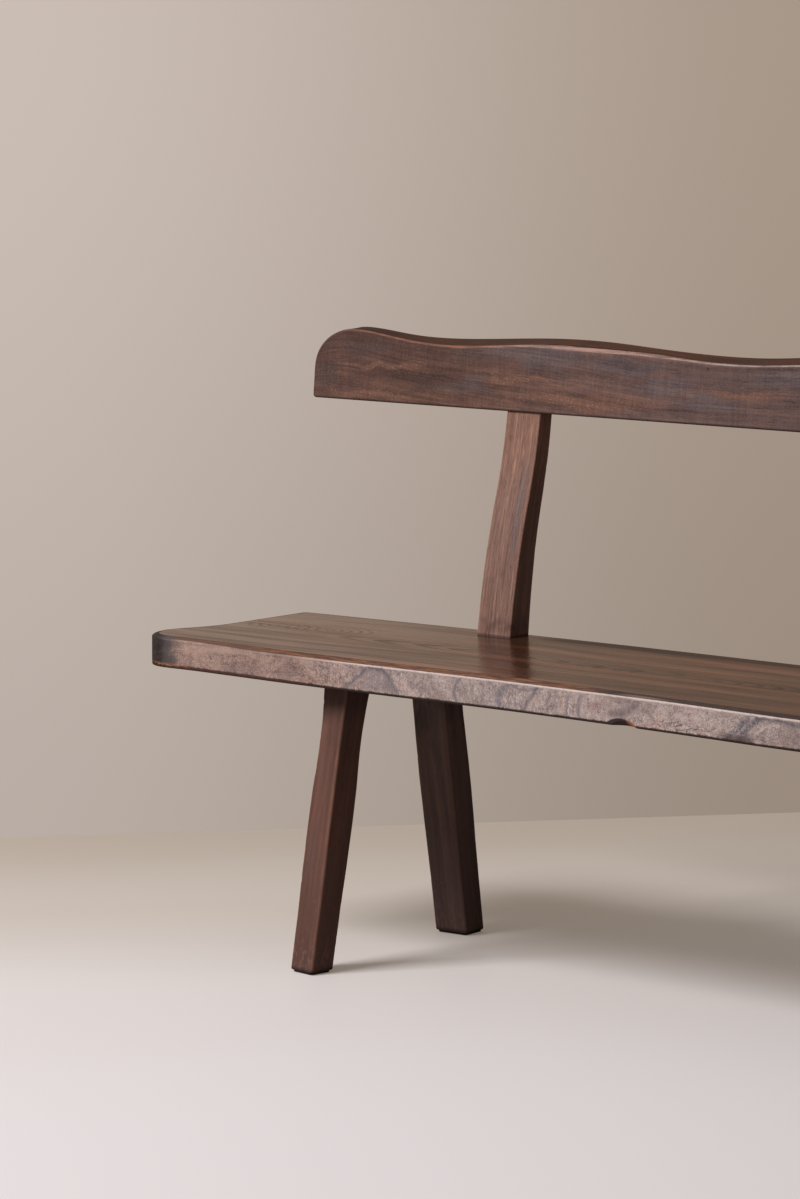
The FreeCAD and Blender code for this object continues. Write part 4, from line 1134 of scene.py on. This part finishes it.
def seat_top_finish():
    """The slab's waxed top and its underside: wavering streaks, soft ovals and a low shine."""
    f = Finish("seat_top_wood", 9)
    grain = f.grain()
    x, y, z = f.parts(f.place())
    warp = f.noise(grain, (4, 9), 3, 11) - 0.5
    sway = (f.noise(grain, (2.4, 3), 2, 14) - 0.5) * 0.045 + warp * 0.015
    board = f.whole(x, y + sway, z)
    figure = Figure(f, board, (-0.02, 0.37), 0.0085, 0.03, 0.003)
    streaks = f.noise(board, (1.9, 32), 4, 1, 0.58, 0.3)
    ribbons = f.noise(board, (4.5, 100), 3, 12)
    wide = f.noise(board, (1.3, 9), 2, 2)
    mood = streaks * 0.45 + ribbons * 0.25 + wide * 0.3
    colour = f.ramp(mood, {0.38: (37, 23, 17), 0.46: (54, 33, 23), 0.54: (76, 45, 30),
                           0.63: (106, 64, 40)})

    def rings_about(middle_x, middle_y, half_x, half_y, count):
        a = (x - middle_x + warp * 0.05) / half_x
        b = (y - middle_y + warp * 0.03) / half_y
        oval = (a * a + b * b).root()
        line = (oval * count + ribbons * 0.5).part()
        return line.rise(0.35, 0.85) * line.fall(0.9, 1) * oval.fall(0.9, 1.6)

    # Long ovals, where the growth layers run out at the surface.
    rings = union(rings_about(*oval) for oval in OVALS)
    colour.lay(rings * 0.75, (26, 18, 16))
    colour.lay(figure.late * 0.36, (36, 22, 16))
    cool = f.noise(board, (1.6, 22), 3, 3).rise(0.46, 0.64)
    colour.lay(cool * 0.5, (42, 32, 27))
    amber = f.noise(board, (2.2, 30), 4, 13, 0.6).rise(0.48, 0.68)
    colour.lay(amber * 0.5, (118, 70, 46))
    # Painted reflection: the top is paler at the left, standing in for the brighter backdrop it mirrors
    # there.
    pale = x.fall(-0.70, -0.40) * y.rise(-0.10, 0) * y.fall(0.06, 0.13)
    colour.lay(pale * 0.35, (116, 86, 66))
    rear = (y - 0.112).rise(0, 0.03) * x.rise(-0.45, -0.30)
    colour.lay(rear * 0.75, (36, 27, 23))
    for middle, half in [((-434, 4), (22, 5)), ((-128, -10), (9, 5)), ((5, -46), (8, 4)),
                         ((97, -28), (12, 5)), ((210, 12), (14, 5)), ((330, -20), (11, 5))]:
        colour.lay(pool(x, y, middle, half, warp * 0.02) * 0.8, (26, 20, 19))
    colour.dim(0.66 + figure.fibre * 0.44 + figure.hair * 0.24)
    colour.lay(figure.pore * 0.3, (26, 18, 16))
    relief = f.bump(figure.fibre * 0.5 + ribbons * 0.3 - figure.pore * 0.4, 0.00018, 0.3)
    swell = f.noise(grain, (5, 24), 2, 4)
    relief = f.bump(swell, 0.0004, 0.16, Normal=relief)
    under = z.fall(UNDERSIDE, 0.430)
    dull = streaks.fall(0.42, 0.58) * 0.6 + ribbons.fall(0.40, 0.60) * 0.3 + rings * 0.9
    rough = 0.11 + dull * 0.15 + figure.fibre * 0.08 + rear * 0.26 + under * 0.40
    return f.set(colour=colour, rough=rough, normal=relief, gloss=0.5)


def stroke(x, z, points, width, warp):
    """A curved stain line on the slab's front, through three points.

    points holds the X and Z of each, in millimetres, and width is the line's.
    """
    a0, b0, a1, b1, a2, b2 = [value * MM for value in points]
    along, side = x, z
    if abs(b2 - b0) > abs(a2 - a0):
        a0, b0, a1, b1, a2, b2 = b0, a0, b1, a1, b2, a2
        along, side = z, x
    first = (b1 - b0) / (a1 - a0)
    second = ((b2 - b1) / (a2 - a1) - first) / (a2 - a0)
    line = b0 + (along - a0) * first + (along - a0) * (along - a1) * second
    low, high = min(a0, a2), max(a0, a2)
    slope = abs(b2 - b0) / abs(a2 - a0)
    spread = width * MM * math.sqrt(1 + slope * slope)
    inside = along.rise(low - 0.003, low + 0.002) * along.fall(high - 0.002, high + 0.003)
    return (side - line + warp).near(spread) * inside


def seat_edge_finish():
    """The slab's sides: the pale rubbed live edge with its dark bevel, and stained edges."""
    f = Finish("seat_edge_wood", 14)
    place = f.place()
    x, y, z = f.parts(place)
    front, wear, bevel = [f.attribute(key) for key in ("front", "wear", "bevel")]
    fuzz = f.noise(place, 560, 2, 1)
    fibres = f.noise(place, (330, 330, 75), 3, 21, 0.6, 0.4)
    soft = f.noise(place, (110, 110, 150), 3, 2)
    blot = f.noise(place, (38, 38, 58), 3, 3)
    large = f.noise(place, (11, 11, 30), 3, 4)
    smear = f.noise(place, (16, 16, 110), 3, 25, 0.55, 0.5)
    inward = x.size().fall(0.60, 0.775)
    to_left = x.fall(-0.62, -0.42)

    # The pale rubbed face: smeared lengthways at the left, and in upright fibres elsewhere.
    to_right = x.rise(-0.02, 0.05)
    swirl = f.noise(place, (210, 210, 260), 3, 27, 0.6, 1.2)
    upright = fibres * (1 - to_right * 0.8) + swirl * to_right * 0.8
    weave = (smear * 0.6 + 0.2) * to_left + upright * (1 - to_left)
    speckle = fuzz * 0.40 + weave * 0.22 + soft * 0.22 + blot * 0.16
    warm = f.ramp(speckle, {0.41: (118, 94, 87), 0.5: (154, 128, 120), 0.59: (186, 158, 146)})
    cool = f.ramp(speckle, {0.41: (132, 114, 112), 0.5: (170, 151, 147), 0.59: (200, 182, 178)})
    face = f.mix((large * 0.5 + x.rise(-0.70, -0.15) * 0.5).rise(0.3, 0.6), warm, cool)
    face.lay(large.rise(0.5, 0.66) * (0.42 - to_left * 0.12), (130, 110, 107))
    face.lay(blot.rise(0.54, 0.68) * 0.35, (178, 148, 134))
    rust = f.noise(place, (30, 30, 60), 3, 26).rise(0.56, 0.70)
    face.lay(rust * 0.22, (164, 122, 110))
    warp = (f.noise(place, (45, 45, 60), 2, 5) - 0.5) * 0.008
    warp = warp + (fuzz - 0.5) * 0.007 + (soft - 0.5) * 0.006
    ink = (92, 90, 100)
    mottle = (fuzz * 0.5 + fibres * 0.9 + soft * 0.5 - 0.30).rise(0.30, 0.90) * 1.15

    def draw(points, width, strength, colour=ink):
        mark = stroke(x, z, points, width * SPREAD, warp) * mottle * strength
        face.lay(mark.least(0.85), colour)

    # A pale bloom near the left end, and the stain marks from there on.
    for middle, half, share, tone in [((-745, 435), (46, 12), 0.5, (194, 160, 145)),
                                      ((-690, 439), (70, 6), 0.6, (190, 158, 146)),
                                      ((-650, 418), (70, 12), 0.22, (116, 98, 97)),
                                      ((-560, 424), (50, 14), 0.25, (118, 100, 99))]:
        face.lay(pool(x, z, middle, half, warp) * share, tone)
    arch = pool(x, z, (-403, 426), (42, 24), warp)
    face.lay(arch * (fibres.rise(0.42, 0.6) * 0.45 + 0.22), (120, 115, 123))
    for mark in [((-464, 408, -438, 423, -420, 437), 3.4, 0.8),
                 ((-428, 433, -408, 442, -386, 438), 6, 0.95),
                 ((-389, 440, -377, 430, -366, 411), 4.6, 0.85),
                 ((-372, 412, -378, 420, -386, 426), 7, 0.6),
                 ((-251, 443, -262, 428, -256, 408), 3.2, 0.8)]:
        draw(*mark)
    broad = stroke(x, z, (-168, 441, -185, 426, -180, 409), 12, warp)
    dashes = f.noise(place, (420, 420, 150), 2, 28).rise(0.42, 0.58)
    face.lay(broad * (0.25 + dashes * 0.6), (104, 104, 115))
    draw((-118, 442, -130, 428, -143, 409), 3.6, 0.95)
    draw((-165, 442, -142, 436, -118, 442), 2.6, 0.6)
    hatch = f.noise(f.whole(x + z * 0.55, y, z * 0.1), (330, 60, 60), 2, 23)
    region = x.rise(-0.30, -0.26) * x.fall(-0.13, -0.09)
    face.lay(region * hatch.rise(0.48, 0.60) * 0.35, (120, 113, 120))
    for at, strength in ((-101, 0.5), (-87, 0.45), (-67, 0.75), (-47, 0.85), (-232, 0.4),
                         (-215, 0.4)):
        draw((at + 3, 438, at, 424, at + 1, 409), 3.4, strength, (110, 102, 110))
    draw((-80, 440, -77, 425, -76, 412), 1.8, 0.7, (206, 164, 134))
    face.lay(pool(x, z, (-21, 424), (14, 9), warp) * 0.4, (150, 106, 104))
    draw((57, 439, 40, 428, 6, 421), 6.5, 0.9, (106, 96, 98))
    draw((62, 438, 74, 426, 88, 416), 3, 0.7, (106, 96, 98))
    draw((-20, 426, -8, 432, 10, 430), 4, 0.45, (128, 102, 96))
    crawl = f.noise(place, (30, 30, 150), 3, 7, 0.5, 1)
    region = x.rise(0.055, 0.08) * x.fall(0.185, 0.215) * z.fall(0.418, 0.425)
    face.lay(region * (crawl - 0.52).near(0.035) * 0.95, (84, 68, 72))
    face.lay(region * (crawl - 0.60).near(0.04) * 0.5, (206, 178, 166))
    dots = f.noise(place, 300, 3, 29, 0.7).rise(0.40, 0.56)
    wedge = stroke(x, z, (205, 405, 224, 423, 246, 438), 8, warp)
    wedge = wedge.most(stroke(x, z, (228, 405, 238, 421, 262, 441), 9, warp))
    face.lay((wedge * (0.35 + dots * 0.65)).least(0.9), (88, 88, 98))
    draw((256, 441, 292, 442, 340, 437), 4.2, 0.9)
    draw((250, 413, 266, 427, 296, 433), 2.6, 0.8, (214, 192, 186))
    draw((244, 413, 268, 408, 300, 408), 2.4, 0.6, (206, 186, 180))
    region = x.rise(0.185, 0.21) * x.fall(0.245, 0.26) * z.fall(0.411, 0.418)
    face.lay(region * 0.8, (84, 68, 66))
    crawl_too = f.noise(place, (20, 20, 90), 3, 8, 0.5, 0.8)
    far = x.rise(0.33, 0.40)
    face.lay(far * (crawl_too - 0.5).near(0.035) * 0.6, ink)
    level = 0.80 + x.rise(-0.60, -0.40) * 0.065 + x.rise(0.04, 0.08) * x.fall(0.19, 0.24) * 0.02
    face.dim(level + fuzz * 0.16 + weave * 0.10 - x.rise(0.20, 0.28) * 0.12)

    # The light on the rubbed upper arris of the face.
    edge_wave = (soft - 0.5) * 0.0022 + (fuzz - 0.5) * 0.0016
    crest = (bevel - 1.32 + edge_wave * 200).near(0.40)
    crest = crest * (0.15 + 0.80 * x.rise(-0.60, -0.40)) * inward
    face.lay(crest, (240, 222, 215))

    # The dark line along the lower arris: dark stain, with painted shade where the arris faces down.
    lower = (z - UNDERSIDE + edge_wave * 0.8 - to_left * 0.0014).fall(0.0034, 0.0054)
    face.lay(lower * 0.97, f.mix(to_left, (50, 34, 28), (70, 44, 35)))

    # The chip: a dark scar, darkened further as painted shade where it faces down, with bare wood at
    # its right end.
    bow = (x - 0.026 + (soft - 0.5) * 0.006) / 0.031
    scar_and_shade = ((1 - bow * bow) * 0.0115 - z + UNDERSIDE + (fuzz - 0.5) * 0.0012).rise(-0.0006, 0.0010)
    face.lay(scar_and_shade, (58, 44, 42))
    bare = scar_and_shade * x.rise(0.034, 0.042)
    face.lay(bare * 0.85, (176, 108, 62))

    # The bevel: dark at both ends, embers at the left and a grey-brown lens near the middle.
    grain_strip = f.noise(place, (34, 460), 3, 9)
    strip = f.ramp(grain_strip, {0.37: (66, 40, 27), 0.5: (92, 57, 38), 0.63: (120, 78, 52)})
    ember = f.noise(place, (70, 260), 3, 10).rise(0.44, 0.60)
    ember = ember * (bevel - 0.9).near(0.28) * x.rise(-0.62, -0.48) * x.fall(-0.30, -0.08)
    strip.lay(ember * 0.5, (150, 94, 60))
    strip.lay(x.rise(-0.06, 0.02) * 0.9, (38, 27, 25))
    lens = pool(x, bevel * MM * 5, (64, 3.4), (62, 2.2))
    strip.lay(lens * 0.8, (112, 92, 85))
    strip.lay(x.fall(-0.66, -0.56) * 0.7, (92, 65, 54))
    low_edge = 0.62 + inward * 0.44 + edge_wave * 200
    on_strip = (bevel - low_edge).fall(-0.08, 0.14)
    face.lay(on_strip * 0.95, strip)

    # The slate-grey rounded corners, rubbed to the bare wood along their lower arris.
    slate = f.ramp(soft * 0.6 + fuzz * 0.4, {0.38: (26, 22, 21), 0.5: (34, 29, 28), 0.62: (52, 45, 45)})
    slate.lay(x.size().rise(0.815, 0.845) * 0.6, (38, 30, 26))
    reach = (x.size() + (blot - 0.5) * 0.05 + (z - 0.427) * 0.25).rise(0.770, 0.804)
    face.lay(reach * 0.98, slate)
    haze = reach * x.size().fall(0.796, 0.816)
    face.lay(haze * 0.40, (106, 98, 102))
    torn = f.noise(place, (140, 140, 260), 3, 24)
    rubbed = x.size().rise(0.74, 0.79) * (z - 0.4098 + (torn - 0.5) * 0.010).near(0.0032)
    rubbed = rubbed * torn.rise(0.40, 0.56)
    face.lay(rubbed * 0.85, (168, 104, 62))
    # Dark stain and painted shade along the corners' lower arris, as along the face.
    face.lay(reach * (z - UNDERSIDE).fall(0.0030, 0.0050) * 0.85, (50, 32, 25))

    # The stained ends and back.
    figure = Figure(f, place, (-0.02, 0.37), 0.0085, 0.03, 0.003, -5)
    stained = f.ramp(blot * 0.4 + figure.fibre * 0.3 + large * 0.3,
                     {0.4: (52, 40, 37), 0.5: (70, 53, 47), 0.6: (90, 70, 61)})
    stained.lay(figure.late * 0.3, (46, 34, 31))
    stained.lay(figure.pore * 0.3, (34, 26, 24))
    rubbed = (wear * 1.2 + soft * 0.9 - 1.05).rise(0.05, 0.4) * (z - UNDERSIDE).fall(0.004, 0.012)
    stained.lay(rubbed * 0.8, (160, 106, 70))
    where = (front + (soft - 0.5) * 0.12).rise(0.10, 0.45)
    colour = f.mix(where, stained, face)

    relief = f.bump(fuzz * 0.4 + weave * 0.6, 0.0006, 0.4)
    relief = f.bump(blot, 0.0014, 0.3, Normal=relief)
    rough = 0.52 + where * 0.24 - reach * 0.12
    return f.set(colour=colour, rough=rough, normal=relief, gloss=0.28)


def felt_finish():
    """Dark grey felt."""
    f = Finish("dark_felt")
    place = f.place()
    strands = f.noise(place, (900, 900, 2400), 3, 3, twist=1.2)
    lint = f.noise(place, 2600, 2, 4).rise(0.62, 0.76)
    colour = f.ramp(strands, {0.35: (24, 22, 22), 0.65: (52, 47, 45)})
    colour.lay(lint * 0.4, (88, 80, 76))
    relief = f.bump(strands, 0.0006, 0.9)
    return f.set(colour=colour, rough=0.95, normal=relief, gloss=0.15, sheen=0.25)


def fastener_finish():
    """Paler wedges and pegs, cut across the grain where they show."""
    f = Finish("wedge_wood")
    place = f.place()
    rings = f.noise(place, 240, 3, 6, twist=0.6)
    dots = f.noise(place, 1500, 2, 7)
    colour = f.ramp(rings, {0.35: (92, 66, 50), 0.65: (134, 98, 74)})
    colour.lay(dots.rise(0.56, 0.7) * 0.5, (58, 40, 32))
    relief = f.bump(rings * 0.5 + dots * 0.5, 0.0003, 0.6)
    return f.set(colour=colour, rough=0.55 + dots * 0.15, normal=relief, gloss=0.3)


def dress(obj, *materials):
    """Puts materials on a piece, in place of what it has."""
    obj.data.materials.clear()
    for material in materials:
        obj.data.materials.append(material)


dress(seat, seat_top_finish(), seat_edge_finish())
of_edge = np.arange(len(seat.data.polygons)) < SEAT_SIDE_FACES
seat.data.polygons.foreach_set("material_index", of_edge.astype(np.int32))
dress(rail, rail_finish())
for number, post in enumerate(posts):
    dress(post, post_finish("post_wood_%d" % (number + 1), 21.0 + 3 * number))
for number, leg in enumerate(legs):
    tones, murk = (FRONT_LEG_TONES, FRONT_MURK) if number < 2 else (REAR_LEG_TONES, REAR_MURK)
    dress(leg, leg_finish("leg_wood_%d" % (number + 1), 31.0 + 3 * number, tones, murk))
felt = felt_finish()
for glide in glides:
    dress(glide, felt)
fastener_wood = fastener_finish()
for name in ("leg_tenon_wedges", "post_tenon_wedges", "rail_pegs"):
    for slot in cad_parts[name].material_slots:
        slot.material = fastener_wood


# Floor and backdrop

BACKDROP_LEFT = (203, 190, 181)
BACKDROP_RIGHT = (167, 151, 137)

# How much of the backdrop's light the waxed seat mirrors, to the left and to the right.
MIRRORED_LEFT = [0.91, 0.81, 0.73, 1.0]
MIRRORED_RIGHT = [0.73, 0.61, 0.54, 1.0]

# Where the floor meets the backdrop, behind the bench: a point on that line and its direction.
WALL_POINT = Vector((-1.578, 0.263, 0.0))
WALL_WAY = Vector((0.640, 0.768, 0.0)).normalized()
FORWARD = Vector((WALL_WAY.y, -WALL_WAY.x, 0.0))
FLOOR_REACH = 12.0

room = Finish("floor")
spot = room.place()
x, y, _ = room.parts(spot)
away = (x - WALL_POINT.x) * FORWARD.x + (y - WALL_POINT.y) * FORWARD.y
cloud = room.noise(spot, 1.4, 1, 2)
shade = room.ramp((away + (cloud - 0.5) * 0.2) * 0.5,
                  {0.0: (194, 183, 174), 0.30: (214, 206, 201), 0.62: (235, 230, 233),
                   1.0: (238, 235, 241)})
straight = room.ray("Camera")
room.set(colour=room.mix(straight, (172, 162, 156), shade), rough=0.55, gloss=0.25)
glow = room.add("Emission", {"Color": room.mix(0.75, shade, (214, 191, 162)), "Strength": 0.88})
lifted = room.add("MixShader", {0: straight * 0.25, 1: Field(room, room.shader.outputs[0]), 2: glow})
room.give(lifted, room.tree.nodes["Material Output"].inputs["Surface"])

near_end = WALL_POINT - WALL_WAY * FLOOR_REACH
far_end = WALL_POINT + WALL_WAY * FLOOR_REACH
floor_corners = [near_end, near_end + FORWARD * FLOOR_REACH, far_end + FORWARD * FLOOR_REACH,
                 far_end]
floor_mesh = bpy.data.meshes.new("floor")
floor_mesh.from_pydata(floor_corners, [], [(0, 1, 2, 3)])
floor = bpy.data.objects.new("floor", floor_mesh)
scene.collection.objects.link(floor)
floor_mesh.materials.append(room.material)

world = bpy.data.worlds.new("room")
scene.world = world
world.use_nodes = True
sky = Nodes(world.node_tree)
x, y, z = sky.parts(sky.add("TexCoord", output="Generated"))
rightness = (x * level_right.x + y * level_right.y).rise(-0.10, 0.10)
wall = sky.mix(rightness, BACKDROP_LEFT, BACKDROP_RIGHT)
wall.dim(1 - z.fall(-0.20, 0) * 0.19)
tint = sky.mix(rightness.rise(0.42, 0.95), MIRRORED_LEFT, MIRRORED_RIGHT)
mirrored = sky.add("VectorMath", {0: wall, 1: tint}, operation="MULTIPLY")
seen = sky.add("Background", {"Color": sky.mix(sky.ray("Camera"), mirrored, wall)})
lit_side = (x * -0.50 + y * -0.58 + z * 0.64).rise(-0.35, 0.95)
ambient = sky.tree.nodes["Background"]
ambient.inputs["Color"].default_value = (1.0, 0.97, 0.94, 1)
sky.give(0.035 + lit_side * 0.26, ambient.inputs["Strength"])
shown = sky.ray("Camera").most(sky.ray("Glossy")).most(sky.ray("Transmission"))
blend = sky.add("MixShader", {0: shown, 1: Field(sky, ambient.outputs[0]), 2: seen})
sky.give(blend, sky.tree.nodes["World Output"].inputs["Surface"])
